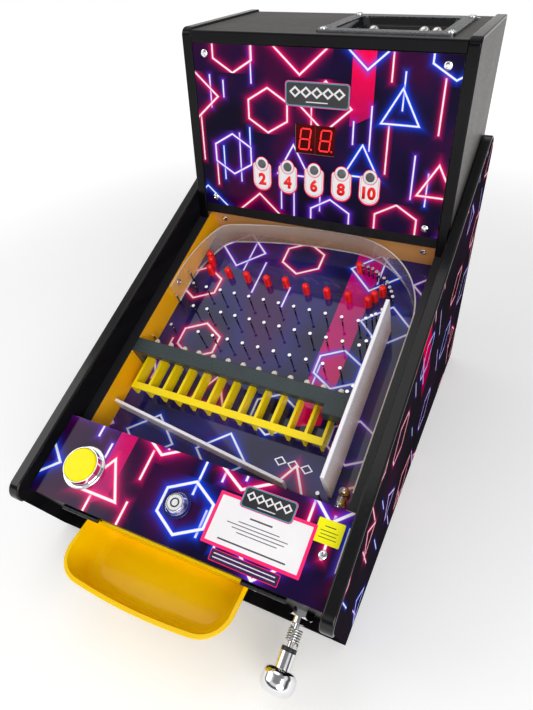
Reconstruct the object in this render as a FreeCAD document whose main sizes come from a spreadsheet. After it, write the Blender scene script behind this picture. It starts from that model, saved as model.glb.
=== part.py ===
import FreeCAD, Part
import Sketcher

import math
import os
import re

# A tabletop ball-drop game: a sloping playfield between two side panels, with a
# display box at the back, a hinged lid, a spring plunger and a ball tray in front.
#
# Two sets of axes are used. The level axes have x to the right, y to the back and
# z up, counted from the lid's front edge and from the underside of the boards.
# The slope axes share x, with v up the slope from the lid's front edge and w
# square to the slope, counted up from the lid's top face.

doc = FreeCAD.newDocument("TabletopBallDropGame")
dims = doc.addObject("Spreadsheet::Sheet", "dims")

# Driving dimensions in millimetres and degrees
DRIVING = {
    # Cabinet
    "slopeAngle": 24.2,
    "lidFrontHeight": 98.0,
    "footHeight": 6.0,
    "footRadius": 9.0,
    "boardThickness": 12.0,
    "innerWidth": 314.0,
    "sideRise": 12.5,
    "frontOverhang": 11.9,
    "rearReach": 527.8,
    "frontCornerRadius": 12.0,
    "rearCornerRadius": 28.0,
    # Edge molding
    "crownThickness": 2.2,
    "crownRounding": 1.8,
    "stemThickness": 1.6,
    "stemDepth": 7.0,
    "moldingEndDrop": 3.0,
    # Lid and its hinges
    "lidSideGap": 1.0,
    "lidLength": 84.0,
    "lidBoardThickness": 6.0,
    "lidSheetThickness": 1.0,
    "restGap": 0.3,
    "hingeWidth": 42.0,
    "hingeLeftX": -93.9,
    "hingeRightX": 101.6,
    "hingePinRadius": 1.0,
    "hingeKnuckleRadius": 2.3,
    "hingeLeafThickness": 1.2,
    "hingeSetOut": 2.4,
    "hingeLidLeafReach": 16.0,
    "hingeFixedLeafDrop": 6.6,
    "runningGap": 0.1,
    # Start button
    "buttonX": -110.7,
    "buttonV": 37.9,
    "buttonFlangeRadius": 22.5,
    "buttonRingRadius": 18.4,
    "buttonRingFoot": 19.6,
    "buttonRingHeight": 9.4,
    "buttonCapRadius": 17.0,
    "buttonCapTop": 11.2,
    "buttonBarrelRadius": 13.8,
    "buttonBarrelDepth": 30.0,
    "buttonTravel": 3.0,
    "buttonFlange": 2.5,
    "buttonRingWall": 1.1,
    "buttonWall": 2.8,
    "buttonStemRadius": 4.0,
    "buttonCapRounding": 2.0,
    "buttonNutRadius": 18.0,
    "buttonNutThickness": 6.0,
    "switchDepth": 46.0,
    "switchLength": 20.0,
    "switchWidth": 10.0,
    "lidHoleGap": 0.2,
    # Lid lock
    "lockX": -1.8,
    "lockV": 37.2,
    "lockCollarRadius": 14.0,
    "lockHeadRadius": 11.0,
    "lockFaceRadius": 8.4,
    "lockBarrelRadius": 9.0,
    "lockPlugRadius": 7.2,
    "lockHeadHeight": 7.0,
    "lockCollar": 1.5,
    "lockNutRadius": 12.5,
    "lockNutThickness": 4.0,
    "lockBarrelDepth": 22.0,
    "keywayRadius": 4.4,
    "keywayPinRadius": 3.2,
    "keywayDepth": 4.0,
    "keyNotch": 1.6,
    "camThickness": 2.0,
    "camReach": 40.0,
    "camWidth": 12.0,
    "camGap": 0.5,
    "camStubRadius": 2.5,
    "camNutAcrossFlats": 9.0,
    "camNutThickness": 3.0,
    "latchRailV": 70.0,
    "latchRailDrop": 20.5,
    "catchThickness": 1.5,
    "catchWidth": 46.0,
    # Playfield well
    "wellLength": 402.8,
    "wellWall": 12.0,
    "ledgeDrop": 16.5,
    "trimThickness": 1.0,
    "playfieldDrop": 52.5,
    "playfieldSheet": 2.0,
    # Guide strip round the playfield
    "stripThickness": 1.5,
    "stripHeight": 32.4,
    "stripLeftX": -144.2,
    "stripLeftBack": 126.5,
    "stripLeftRun": 21.7,
    "stripLeftRadius": 170.0,
    "stripLeftTurn": 26.0,
    "stripCornerRadius": 24.0,
    "stripCornerTurn": 51.5,
    "stripTopRadius": 640.0,
    "stripTopTurn": 12.5,
    "stripTopRun": 15.0,
    "stripRightRadius": 101.0,
    "stripRightRun": 194.0,
    # Shooting lane and return rail
    "laneFaceX": 120.3,
    "laneFrontV": 102.4,
    "laneRearV": 302.5,
    "laneThickness": 4.0,
    "laneHeight": 60.5,
    "railThickness": 3.5,
    "railHeight": 20.0,
    "railLeftX": -143.0,
    "railLeftV": 122.4,
    "railRightX": 74.6,
    "railRightV": 95.7,
    # Collector: bar, comb and slot pins
    "combHeight": 17.0,
    "combFirstX": -132.8,
    "combPitch": 19.05,
    "combTeeth": 13,
    "combToothWidth": 3.0,
    "combFrontV": 145.0,
    "combRearV": 190.0,
    "combBarWidth": 8.0,
    "combBarHeight": 2.0,
    "barFrontV": 181.0,
    "barRearV": 198.2,
    "barDrop": 16.0,
    "barThickness": 8.0,
    "barLeftX": -144.8,
    "barRightX": 114.0,
    "barBlockWidth": 25.0,
    "barBlockFrontV": 171.0,
    "barBlockBottom": 21.0,
    "barLegWidth": 9.0,
    "barRounding": 1.2,
    "sensorBoard": 1.6,
    "sensorSize": 4.0,
    "slotPinV": 207.5,
    "slotPinRadius": 1.6,
    "slotHeadRadius": 3.3,
    "slotHeadHeight": 2.6,
    # Nails and posts of the playfield
    "nailRadius": 0.9,
    "nailHeadRadius": 1.9,
    "nailHeadHeight": 0.9,
    "nailHeight": 18.5,
    "lowNailHeight": 12.0,
    "nailRowTopV": 295.5,
    "nailRowTopX": -108.4,
    "nailRowMidV": 265.5,
    "nailRowMidX": -111.9,
    "nailRowLowV": 233.1,
    "nailRowLowX": -89.0,
    "nailPitch": 19.43,
    "nailMidPitch": 18.95,
    "postRadius": 4.25,
    "postHeight": 16.5,
    # Plunger
    "plungerX": 131.0,
    "rodRadius": 3.0,
    "sleeveRadius": 6.0,
    "sleeveFront": 13.0,
    "sleeveRear": 24.0,
    "sleeveFlangeRadius": 11.0,
    "sleeveFlange": 3.0,
    "nutAcrossFlats": 20.0,
    "nutThickness": 8.0,
    "outerSpringEnd": 32.9,
    "outerSpringDiameter": 13.0,
    "outerSpringWire": 1.6,
    "outerSpringTurns": 5.5,
    "collarThickness": 3.9,
    "collarRadius": 6.9,
    "neckRadius": 7.5,
    "neckLength": 13.6,
    "knobRadius": 15.4,
    "knobThickness": 21.0,
    "knobRounding": 10.0,
    "knobBackRounding": 6.5,
    "innerSpringDiameter": 9.6,
    "innerSpringWire": 1.1,
    "innerSpringTurns": 9.0,
    "washerRear": 99.6,
    "washerThickness": 1.2,
    "washerRadius": 5.0,
    "tipLength": 5.7,
    "tipRadius": 4.4,
    # Balls
    "ballRadius": 5.5,
    # Ball tray and the window that feeds it
    "trayLeftX": -96.4,
    "trayRightX": 80.6,
    "trayReach": 55.5,
    "trayBow": 7.0,
    "trayCornerRadius": 30.0,
    "trayRimDrop": 30.0,
    "trayLean": 15.8,
    "trayRearLap": 14.0,
    "trayRimOut": 1.6,
    "trayRimHeight": 2.4,
    "trayDepth": 38.0,
    "trayWall": 2.2,
    "trayDraft": 16.0,
    "trayFloorRounding": 16.0,
    "trayFlangeLeftX": -106.0,
    "trayFlangeRightX": 104.0,
    "trayFlangeTop": 15.0,
    "trayFlangeLap": 1.0,
    "windowLeftX": -84.0,
    "windowRightX": 70.0,
    "windowTop": 33.0,
    # Display box
    "boxSideGap": 0.5,
    "boxFront": 361.9,
    "boxTop": 453.8,
    "boxCornerRadius": 6.0,
    "panelFront": 361.0,
    "panelThickness": 3.0,
    "panelBottom": 262.2,
    "panelTopGap": 0.2,
    "panelGap": 0.3,
    "frontRailBottom": 250.0,
    "cleatWidth": 20.0,
    "displayWidth": 45.7,
    "displayHeight": 31.0,
    "displayZ": 352.5,
    "lampZ": 319.8,
    "lampPitch": 32.4,
    "lampRadius": 5.3,
    "bezelRadius": 7.6,
    "bezelHeight": 1.2,
    "lampReach": 2.0,
    "moduleWidth": 50.0,
    "moduleHeight": 35.0,
    "moduleDepth": 8.0,
    "circuitThickness": 1.6,
    "circuitWidth": 156.0,
    "circuitMargin": 10.0,
    "cleatThickness": 12.0,
    "panelScrewX": 130.0,
    "panelScrewTopZ": 432.0,
    "panelScrewLowZ": 271.5,
    # Ball dish in the box's top
    "frameLeftX": -6.5,
    "frameRightX": 130.0,
    "frameFrontY": 372.0,
    "frameRearY": 504.0,
    "frameThickness": 2.6,
    "dishLeftX": 7.5,
    "dishRightX": 116.0,
    "dishFrontY": 387.0,
    "dishRearY": 484.0,
    "dishDepth": 8.0,
    "dishWall": 1.6,
    "dishCorner": 8.0,
    "dishSlant": 18.0,
    "dishFloorRounding": 3.0,
    "dishFlange": 2.0,
    "dishFlangeThickness": 1.0,
    "frameCorner": 4.0,
    # Screws
    "screwRadius": 4.1,
    "screwHeight": 1.8,
    # Power inlet
    "inletRadius": 5.5,
    "inletFlangeRadius": 8.0,
    "inletFlange": 1.8,
    "inletDepth": 16.0,
    "inletX": -120.0,
    "inletZ": 40.0,
}

for row, (alias, size) in enumerate(DRIVING.items(), start=1):
    dims.set(f"A{row}", alias)
    dims.set(f"B{row}", str(size))
    dims.setAlias(f"B{row}", alias)
doc.recompute()

subParts = []


def bound(formula):
    """Turns the size names in a formula into references to the sheet."""
    def refer(word):
        return "dims." + word.group() if word.group() in DRIVING else word.group()
    return re.sub(r"\b[a-z][A-Za-z]+\b", refer, str(formula))


def value(formula):
    """Works a formula out as a number."""
    return float(dims.evalExpression(bound(formula)))


def bind(piece, name, formula):
    piece.setExpression(name, bound(formula))


# Formulas that several pieces share
SIN = "sin(slopeAngle)"
COS = "cos(slopeAngle)"
HALF_INSIDE = "innerWidth / 2"
WELL_INSIDE = f"({HALF_INSIDE} - wellWall)"
LID_BOTTOM = "(lidBoardThickness + lidSheetThickness)"
APRON_TOP = f"({LID_BOTTOM} + hingeLeafThickness + restGap)"
PIN_DROP = f"({LID_BOTTOM} + hingeLeafThickness / 2)"
PLAYFIELD_BOTTOM = "(playfieldDrop + playfieldSheet + boardThickness)"
BOX_OUTSIDE = "(innerWidth / 2 - boxSideGap)"
BOX_INSIDE = f"({BOX_OUTSIDE} - boardThickness)"
PLUNGER_DROP = "(playfieldDrop - ballRadius)"
KNOB_CENTRE = "(outerSpringEnd + collarThickness + neckLength + knobThickness / 2)"
KNOB_FRONT = (f"({KNOB_CENTRE} * {COS} - {PLUNGER_DROP} * {SIN} + knobRounding"
              f" + (knobThickness / 2 - knobRounding) * {COS} + (knobRadius - knobRounding) * {SIN})")
TRAY_FRONT = f"((trayReach + trayBow + trayRimOut) * cos(slopeAngle - trayLean) - trayRimDrop * {SIN})"
FRONT_REACH = f"max({KNOB_FRONT}; {TRAY_FRONT})"
SETBACK = f"((rearReach + crownThickness - {FRONT_REACH}) / 2)"


def slopeToLevel(v, w):
    """Level y and z of a place given up the slope and square to it."""
    y = f"(({v}) * {COS} - ({w}) * {SIN})"
    z = f"(lidFrontHeight + ({v}) * {SIN} + ({w}) * {COS})"
    return y, z


def levelToSlope(y, z):
    """Slope v and w of a place given by level y and z."""
    v = f"(({y}) * {COS} + (({z}) - lidFrontHeight) * {SIN})"
    w = f"((({z}) - lidFrontHeight) * {COS} - ({y}) * {SIN})"
    return v, w


def atHeight(v, z):
    """The w at which a line square to the slope meets a level height."""
    return f"((({z}) - lidFrontHeight - ({v}) * {SIN}) / {COS})"


def onSlope(piece, x="0", v="0", w="0"):
    """Places a piece drawn in the slope axes."""
    y, z = slopeToLevel(v, w)
    piece.Placement = FreeCAD.Placement(FreeCAD.Vector(), FreeCAD.Rotation(FreeCAD.Vector(1, 0, 0), 1))
    bind(piece, "Placement.Rotation.Angle", "slopeAngle")
    bind(piece, "Placement.Base.x", x)
    bind(piece, "Placement.Base.y", f"{y} - {SETBACK}")
    bind(piece, "Placement.Base.z", f"{z} + footHeight")
    return piece


def alongSlope(piece, x, w, v="0"):
    """Places a piece that was turned about the upright axis, with that axis up the slope."""
    onSlope(piece, x, v, w)
    bind(piece, "Placement.Rotation.Angle", "slopeAngle - 90")
    return piece


def onLevel(piece, x="0", y="0", z="0"):
    """Places a piece drawn in the level axes."""
    bind(piece, "Placement.Base.x", x)
    bind(piece, "Placement.Base.y", f"({y}) - {SETBACK}")
    bind(piece, "Placement.Base.z", f"({z}) + footHeight")
    return piece


def subPart(piece, label):
    """Names a finished sub-part, which gets a file of its own."""
    piece.Label = label
    subParts.append(piece)
    return piece


# Sketches and the features made from them
def addPolygon(sketch, corners):
    first = sketch.GeometryCount
    points = [FreeCAD.Vector(value(x), value(y), 0) for x, y in corners]
    for here, there in zip(points, points[1:] + points[:1]):
        sketch.addGeometry(Part.LineSegment(here, there))
    for index, (x, y) in enumerate(corners):
        edge = first + index
        following = first + (index + 1) % len(corners)
        sketch.addConstraint(Sketcher.Constraint("Coincident", edge, 2, following, 1))
        for kind, formula in (("DistanceX", x), ("DistanceY", y)):
            number = sketch.addConstraint(Sketcher.Constraint(kind, -1, 1, edge, 1, value(formula)))
            sketch.setExpression(f"Constraints[{number}]", bound(formula))


def addCircle(sketch, x, y, radius):
    centre = FreeCAD.Vector(value(x), value(y), 0)
    edge = sketch.addGeometry(Part.Circle(centre, FreeCAD.Vector(0, 0, 1), value(radius)))
    for kind, formula in (("DistanceX", x), ("DistanceY", y)):
        number = sketch.addConstraint(Sketcher.Constraint(kind, -1, 1, edge, 3, value(formula)))
        sketch.setExpression(f"Constraints[{number}]", bound(formula))
    number = sketch.addConstraint(Sketcher.Constraint("Radius", edge, value(radius)))
    sketch.setExpression(f"Constraints[{number}]", bound(radius))


def newSketch(body, plane, loops, offset="0"):
    """A sketch on one of the body's own planes: polygons are lists, circles are tuples."""
    sketch = body.newObject("Sketcher::SketchObject", body.Name + "Sketch")
    support = [feature for feature in body.Origin.OriginFeatures if feature.Role == plane + "_Plane"]
    sketch.AttachmentSupport = (support[0], "")
    sketch.MapMode = "FlatFace"
    bind(sketch, "AttachmentOffset.Base.z", offset)
    for loop in loops:
        if isinstance(loop, tuple):
            addCircle(sketch, *loop)
        else:
            addPolygon(sketch, loop)
    return sketch


def plate(name, plane, loops, start, thickness):
    """A flat piece: an outline with its holes, raised along the axis square to its plane."""
    body = doc.addObject("PartDesign::Body", name)
    # The XZ plane's own direction is -Y, so its offset counts the other way
    offset = f"-(({start}) + ({thickness}))" if plane == "XZ" else start
    sketch = newSketch(body, plane, loops, offset)
    pad = body.newObject("PartDesign::Pad", name + "Pad")
    pad.Profile = sketch
    bind(pad, "Length", thickness)
    sketch.Visibility = False
    doc.recompute()
    return body


def turned(name, profile):
    """A round piece: a profile of radii and heights turned about the upright axis."""
    body = doc.addObject("PartDesign::Body", name)
    sketch = newSketch(body, "XZ", [profile])
    turn = body.newObject("PartDesign::Revolution", name + "Turn")
    turn.Profile = sketch
    turn.ReferenceAxis = (sketch, ["V_Axis"])
    turn.Angle = 360
    doc.recompute()
    return body


def fillet(body, radius, chosen):
    """Rounds the edges of the body's last feature for which chosen(edge) holds."""
    tip = body.Tip
    names = [f"Edge{number}" for number, edge in enumerate(tip.Shape.Edges, start=1) if chosen(edge)]
    rounding = body.newObject("PartDesign::Fillet", body.Name + "Fillet")
    rounding.Base = (tip, names)
    bind(rounding, "Radius", radius)
    body.Tip = rounding
    doc.recompute()
    return body


def rectangle(x0, y0, x1, y1):
    return [(x0, y0), (x1, y0), (x1, y1), (x0, y1)]


def box(name, x0, x1, y0, y1, z0, z1):
    """A block between pairs of formulas along x, y and z."""
    return plate(name, "XY", [rectangle(x0, y0, x1, y1)], z0, f"({z1}) - ({z0})")


def midpoint(edge):
    return edge.valueAt((edge.FirstParameter + edge.LastParameter) / 2)


def near(number, formula, tolerance=0.01):
    return abs(number - value(formula)) < tolerance


def boolean(kind, name, first, second):
    result = doc.addObject("Part::" + kind, name)
    if kind in ("Cut", "Common"):
        result.Base = first
        result.Tool = second
    else:
        result.Shapes = [first, second]
    doc.recompute()
    return result


def fuse(name, *pieces):
    result = doc.addObject("Part::MultiFuse", name)
    result.Shapes = list(pieces)
    doc.recompute()
    return result


def gathered(name, *pieces):
    """Separate solids that make one sub-part."""
    doc.recompute()
    return solidFeature(name, Part.makeCompound([piece.Shape.copy() for piece in pieces]))


def solidFeature(name, shape):
    """A piece whose form no sketched feature makes."""
    feature = doc.addObject("Part::Feature", name)
    feature.Shape = shape
    return feature


def scatter(name, master, places):
    """Copies of a master piece at places given as x, y and z."""
    shape = master.Shape.copy()
    copies = []
    for place in places:
        copy = shape.copy()
        copy.translate(FreeCAD.Vector(*place))
        copies.append(copy)
    return solidFeature(name, Part.makeCompound(copies))


# Side panels and their edge molding
def edgedBoard(name, outline, corners, crown, band, start, ends):
    """A board with a groove in its edge, and the molding whose stem fills it.

    outline is the board, corners its rounded corners as (place, radius), crown the
    outline with the molding on it, band the depth that the groove reaches, and ends
    holds the crown's corners where its rounding stops.
    """
    board = plate(name + "Board", "YZ", [outline], start, "boardThickness")
    blank = plate(name + "Crown", "YZ", [crown], start, "boardThickness")
    slab = plate(name + "Groove", "YZ", [band], f"({start}) + (boardThickness - stemThickness) / 2",
                 "stemThickness")

    def atCorner(place):
        def chosen(edge):
            middle = midpoint(edge)
            return near(middle.y, place[0]) and near(middle.z, place[1])
        return chosen

    for place, outside, radius in corners:
        fillet(board, radius, atCorner(place))
        fillet(blank, f"{radius} + crownThickness", atCorner(outside))

    closing = [(value(y), value(z)) for y, z in ends]

    def isOuterRim(edge):
        middle = midpoint(edge)
        onFace = near(middle.x, start) or near(middle.x, f"({start}) + boardThickness")
        touchesEnd = any(math.hypot(vertex.Y - y, vertex.Z - z) < 0.01
                         for vertex in edge.Vertexes for y, z in closing)
        return onFace and not touchesEnd

    fillet(blank, "crownRounding", isOuterRim)
    grooved = boolean("Cut", name + "Grooved", board, slab)
    cap = boolean("Cut", name + "Cap", blank, board)
    stem = boolean("Common", name + "Stem", slab, board)
    return grooved, boolean("MultiFuse", name + "Molding", cap, stem)


def cabinetSide(side, start):
    front = "-frontOverhang"
    rear = f"((rearReach + sideRise * {SIN}) / {COS})"
    outline = [(front, atHeight(front, "0")), levelToSlope("rearReach", "0"),
               (rear, "sideRise"), (front, "sideRise")]
    outerFront = "-(frontOverhang + crownThickness)"
    outerTop = "(sideRise + crownThickness)"
    outerRear = f"((rearReach + crownThickness + {outerTop} * {SIN}) / {COS})"
    moldingEnd = "(sideRise - frontCornerRadius - moldingEndDrop)"
    crown = [(outerFront, moldingEnd), levelToSlope("rearReach - 2 * stemDepth", "0"),
             levelToSlope("rearReach + crownThickness", "0"),
             (outerRear, outerTop), (outerFront, outerTop)]
    innerTop = "(sideRise - stemDepth)"
    innerRear = f"((rearReach - stemDepth + {innerTop} * {SIN}) / {COS})"
    band = [(outerFront, moldingEnd), ("stemDepth - frontOverhang", moldingEnd),
            ("stemDepth - frontOverhang", innerTop), (innerRear, innerTop),
            levelToSlope("rearReach - stemDepth", "0"), levelToSlope("rearReach + crownThickness", "0"),
            (outerRear, outerTop), (outerFront, outerTop)]
    corners = [((rear, "sideRise"), (outerRear, outerTop), "rearCornerRadius"),
               ((front, "sideRise"), (outerFront, outerTop), "frontCornerRadius")]
    board, molding = edgedBoard("side" + side, outline, corners, crown, band, start, [crown[1]])
    for piece in (board.Base, board.Tool, molding.Shapes[0].Base):
        onSlope(piece)
    subPart(board, "cabinet_side_" + side.lower())
    subPart(molding, "edge_molding_" + side.lower())


cabinetSide("Left", f"-({HALF_INSIDE}) - boardThickness")
cabinetSide("Right", HALF_INSIDE)


# Floor, front and back boards
def baseBoard():
    def frontAt(z):
        return slopeToLevel("-frontOverhang", atHeight("-frontOverhang", z))[0]
    rear = "rearReach"
    outline = [(frontAt("0"), "0"), (rear, "0"), (rear, "boardThickness"),
               (frontAt("boardThickness"), "boardThickness")]
    board = plate("baseBoard", "YZ", [outline], f"-{HALF_INSIDE}", "innerWidth")
    subPart(onLevel(board), "base_board")


def frontApron():
    """The recessed front board, with the ball window and the plunger's bore."""
    foot = atHeight("boardThickness", "boardThickness")
    outline = rectangle(f"-{HALF_INSIDE}", foot, HALF_INSIDE, f"-{APRON_TOP}")
    window = rectangle("windowLeftX", "-(playfieldDrop + playfieldSheet)", "windowRightX", "-windowTop")
    bore = ("plungerX", f"-{PLUNGER_DROP}", "sleeveRadius + runningGap")
    board = plate("apronBoard", "XZ", [outline, window, bore], "0", "boardThickness")
    # The foot is planed to the level floor that it stands on
    wedge = [("-1", atHeight("-1", "boardThickness")), ("-1", f"{foot} - 1"),
             ("boardThickness + 1", f"{foot} - 1"),
             ("boardThickness + 1", atHeight("boardThickness + 1", "boardThickness"))]
    planing = plate("apronPlaning", "YZ", [wedge], f"-{HALF_INSIDE} - 1", "innerWidth + 2")
    onSlope(board)
    onSlope(planing)
    subPart(boolean("Cut", "apron", board, planing), "front_apron")


def rubberFeet():
    """Three pairs of feet, of which the middle pair stands at the cabinet's edges."""
    foot = turned("foot", [("0", "-footHeight"), ("footRadius - 1", "-footHeight"),
                           ("footRadius", "0"), ("0", "0")])
    halfInside = value(HALF_INSIDE)
    front = value("frontOverhang") + value(slopeToLevel("0", atHeight("0", "0"))[0])
    inset = 3 * value("footRadius")
    pairs = [(halfInside - inset - value("footRadius"), front + inset),
             (halfInside - value("footRadius") + 1, front + 150),
             (halfInside - value("footRadius") + 1, value("rearReach") - inset)]
    places = [(side * x, y, 0) for x, y in pairs for side in (-1, 1)]
    subPart(onLevel(scatter("feet", foot, places)), "rubber_feet")


baseBoard()
frontApron()
rubberFeet()


# The playfield and the yellow well round it
STEP_V = "(lidLength + 2 * lidSideGap)"
WELL_REAR = "(wellLength + wellWall)"
WALL_TOP = "-(ledgeDrop + trimThickness)"


def well():
    trims = []
    profile = [("boardThickness", f"-{PLAYFIELD_BOTTOM}"), (WELL_REAR, f"-{PLAYFIELD_BOTTOM}"),
               (WELL_REAR, WALL_TOP), (STEP_V, WALL_TOP),
               (STEP_V, f"-({LID_BOTTOM} + restGap)"), ("boardThickness", f"-({LID_BOTTOM} + restGap)")]
    for side, start in (("left", f"-({HALF_INSIDE})"), ("right", WELL_INSIDE)):
        subPart(onSlope(plate("wall_" + side, "YZ", [profile], start, "wellWall")), "well_wall_" + side)
        trim = box("trim_" + side, start, f"{start} + wellWall", STEP_V, WELL_REAR, WALL_TOP, "-ledgeDrop")
        trims.append(onSlope(trim))
    subPart(gathered("ledgeTrims", *trims), "ledge_trims")
    back = box("wallBack", f"-{WELL_INSIDE}", WELL_INSIDE, "wellLength", WELL_REAR,
               f"-{PLAYFIELD_BOTTOM}", "-ledgeDrop")
    subPart(onSlope(back), "well_wall_back")
    board = box("playfieldBoard", f"-{WELL_INSIDE}", WELL_INSIDE, "boardThickness", "wellLength",
                f"-{PLAYFIELD_BOTTOM}", "-(playfieldDrop + playfieldSheet)")
    subPart(onSlope(board), "playfield_board")
    sheet = box("playfieldSheetPlate", f"-{WELL_INSIDE}", WELL_INSIDE, "boardThickness", "wellLength",
                "-(playfieldDrop + playfieldSheet)", "-playfieldDrop")
    subPart(onSlope(sheet), "playfield_sheet")


def guideStrip():
    """The clear strip on edge, bent in tangent arcs from the left wall to the shooting lane."""
    steps = [("stripLeftRun", 0), ("stripLeftRadius", "stripLeftTurn"),
             ("stripCornerRadius", "stripCornerTurn"), ("stripTopRadius", "stripTopTurn"),
             ("stripTopRun", 0), ("stripRightRadius", 90), ("stripRightRun", 0)]

    def route(offset):
        """Edges of the route at a distance to the left of the strip's middle."""
        heading = 90.0
        place = FreeCAD.Vector(value("stripLeftX") - offset, value("wellLength - stripLeftBack"), 0)
        edges = []
        for length, turn in steps:
            ahead = FreeCAD.Vector(math.cos(math.radians(heading)), math.sin(math.radians(heading)), 0)
            if not turn:
                following = place + ahead * value(length)
                edges.append(Part.LineSegment(place, following))
            else:
                radius = value(length) + offset
                right = FreeCAD.Vector(ahead.y, -ahead.x, 0)
                centre = place + right * radius
                spin = FreeCAD.Rotation(FreeCAD.Vector(0, 0, 1), -value(turn))
                halfSpin = FreeCAD.Rotation(FreeCAD.Vector(0, 0, 1), -value(turn) / 2)
                following = centre + spin.multVec(place - centre)
                edges.append(Part.Arc(place, centre + halfSpin.multVec(place - centre), following))
                heading -= value(turn)
            place = following
        return edges

    half = value("stripThickness") / 2
    outer = [edge.toShape() for edge in route(half)]
    inner = [edge.toShape() for edge in route(-half)]
    caps = [Part.makeLine(outer[0].Vertexes[0].Point, inner[0].Vertexes[0].Point),
            Part.makeLine(outer[-1].Vertexes[-1].Point, inner[-1].Vertexes[-1].Point)]
    loop = Part.Wire(Part.__sortEdges__(outer + inner + caps))
    strip = Part.Face(loop).extrude(FreeCAD.Vector(0, 0, value("stripHeight")))
    subPart(onSlope(solidFeature("guideStrip", strip), "0", "0", "-playfieldDrop"), "guide_strip")


def laneDivider():
    divider = box("laneDivider", "laneFaceX - laneThickness", "laneFaceX", "laneFrontV", "laneRearV",
                  "0", "laneHeight")
    fillet(divider, "laneThickness * 0.3", lambda edge: near(midpoint(edge).z, "laneHeight"))
    subPart(onSlope(divider, "0", "0", "-playfieldDrop"), "lane_divider")


def returnRail():
    """A straight rail on edge, which leans down to the right."""
    run = "(railRightX - railLeftX)"
    fall = "(railLeftV - railRightV)"
    length = f"sqrt({run} * {run} + {fall} * {fall})"
    sideX = f"railThickness * {fall} / {length}"
    sideV = f"railThickness * {run} / {length}"
    outline = [("railLeftX", "railLeftV"), ("railRightX", "railRightV"),
               (f"railRightX + {sideX}", f"railRightV + {sideV}"),
               (f"railLeftX + {sideX}", f"railLeftV + {sideV}")]
    rail = plate("returnRail", "XY", [outline], "0", "railHeight")
    fillet(rail, "railThickness * 0.3", lambda edge: near(midpoint(edge).z, "railHeight"))
    subPart(onSlope(rail, "0", "0", "-playfieldDrop"), "return_rail")


well()
guideStrip()
laneDivider()
returnRail()


BAR_TOP = "(playfieldDrop - barDrop)"


# The collector: a comb whose front bar lies above the balls, and a cover bar with the ball sensors under it
def collectorComb():
    comb = box("comb", "combFirstX - combToothWidth / 2",
               "combFirstX + (combTeeth - 1) * combPitch + combToothWidth / 2",
               "combFrontV", "combFrontV + combBarWidth", "combHeight - combBarHeight", "combHeight")
    tooth = rectangle("combFirstX - combToothWidth / 2", "0", "combFirstX + combToothWidth / 2", "combHeight")
    sketch = newSketch(comb, "XZ", [tooth], "-combRearV")
    pad = comb.newObject("PartDesign::Pad", "combTooth")
    pad.Profile = sketch
    bind(pad, "Length", "combRearV - combFrontV")
    doc.recompute()
    teeth = comb.newObject("PartDesign::LinearPattern", "combTeethRow")
    teeth.Originals = [pad]
    teeth.Direction = (sketch, ["H_Axis"])
    bind(teeth, "Length", "(combTeeth - 1) * combPitch")
    bind(teeth, "Occurrences", "combTeeth")
    comb.Tip = teeth
    doc.recompute()
    subPart(onSlope(comb, "0", "0", "-playfieldDrop"), "collector_comb")


def collectorCover():
    """The bar across the comb, with a leg at each end and a deeper block on the right."""
    bar = box("coverBar", "barLeftX", "barRightX", "barFrontV", "barRearV", f"{BAR_TOP} - barThickness", BAR_TOP)
    pieces = (("coverBlock", "barRightX - barBlockWidth", "barRightX", "barBlockFrontV", "barBlockBottom"),
              ("coverRightLeg", "barRightX - barLegWidth", "barRightX", "barFrontV", "0"),
              ("coverLeftLeg", "barLeftX", "barLeftX + barLegWidth", "barFrontV", "0"))
    for name, left, right, front, bottom in pieces:
        sketch = newSketch(bar, "XY", [rectangle(left, front, right, "barRearV")], bottom)
        pad = bar.newObject("PartDesign::Pad", name)
        pad.Profile = sketch
        bind(pad, "Length", f"{BAR_TOP} - ({bottom})")
        bar.Tip = pad
        doc.recompute()
    fillet(bar, "barRounding", lambda edge: near(midpoint(edge).z, BAR_TOP))
    subPart(onSlope(bar, "0", "0", "-playfieldDrop"), "collector_cover")


def ballSensors():
    """A circuit board under the bar, with one sensor over each slot of the comb."""
    top = f"{BAR_TOP} - barThickness"
    board = box("sensorStrip", "barLeftX + barLegWidth + 1", "barRightX - barBlockWidth - 0.4",
                "barFrontV + 2", "barRearV - 2", f"{top} - sensorBoard", top)
    sketch = newSketch(board, "XY", [rectangle("combFirstX + combPitch / 2 - sensorSize / 2",
                                               "(barFrontV + barRearV - sensorSize) / 2",
                                               "combFirstX + combPitch / 2 + sensorSize / 2",
                                               "(barFrontV + barRearV + sensorSize) / 2")],
                       f"{top} - sensorBoard - sensorSize / 2")
    pad = board.newObject("PartDesign::Pad", "sensor")
    pad.Profile = sketch
    bind(pad, "Length", "sensorSize / 2")
    doc.recompute()
    row = board.newObject("PartDesign::LinearPattern", "sensorRow")
    row.Originals = [pad]
    row.Direction = (sketch, ["H_Axis"])
    bind(row, "Length", "(combTeeth - 2) * combPitch")
    bind(row, "Occurrences", "combTeeth - 1")
    board.Tip = row
    doc.recompute()
    subPart(onSlope(board, "0", "0", "-playfieldDrop"), "ball_sensors")


def pin(name, radius, headRadius, headHeight, height):
    """A nail with a flat head, standing on the playfield."""
    return turned(name, [("0", "0"), (radius, "0"), (radius, f"{height} - {headHeight}"),
                         (headRadius, f"{height} - {headHeight}"), (headRadius, height), ("0", height)])


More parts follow.
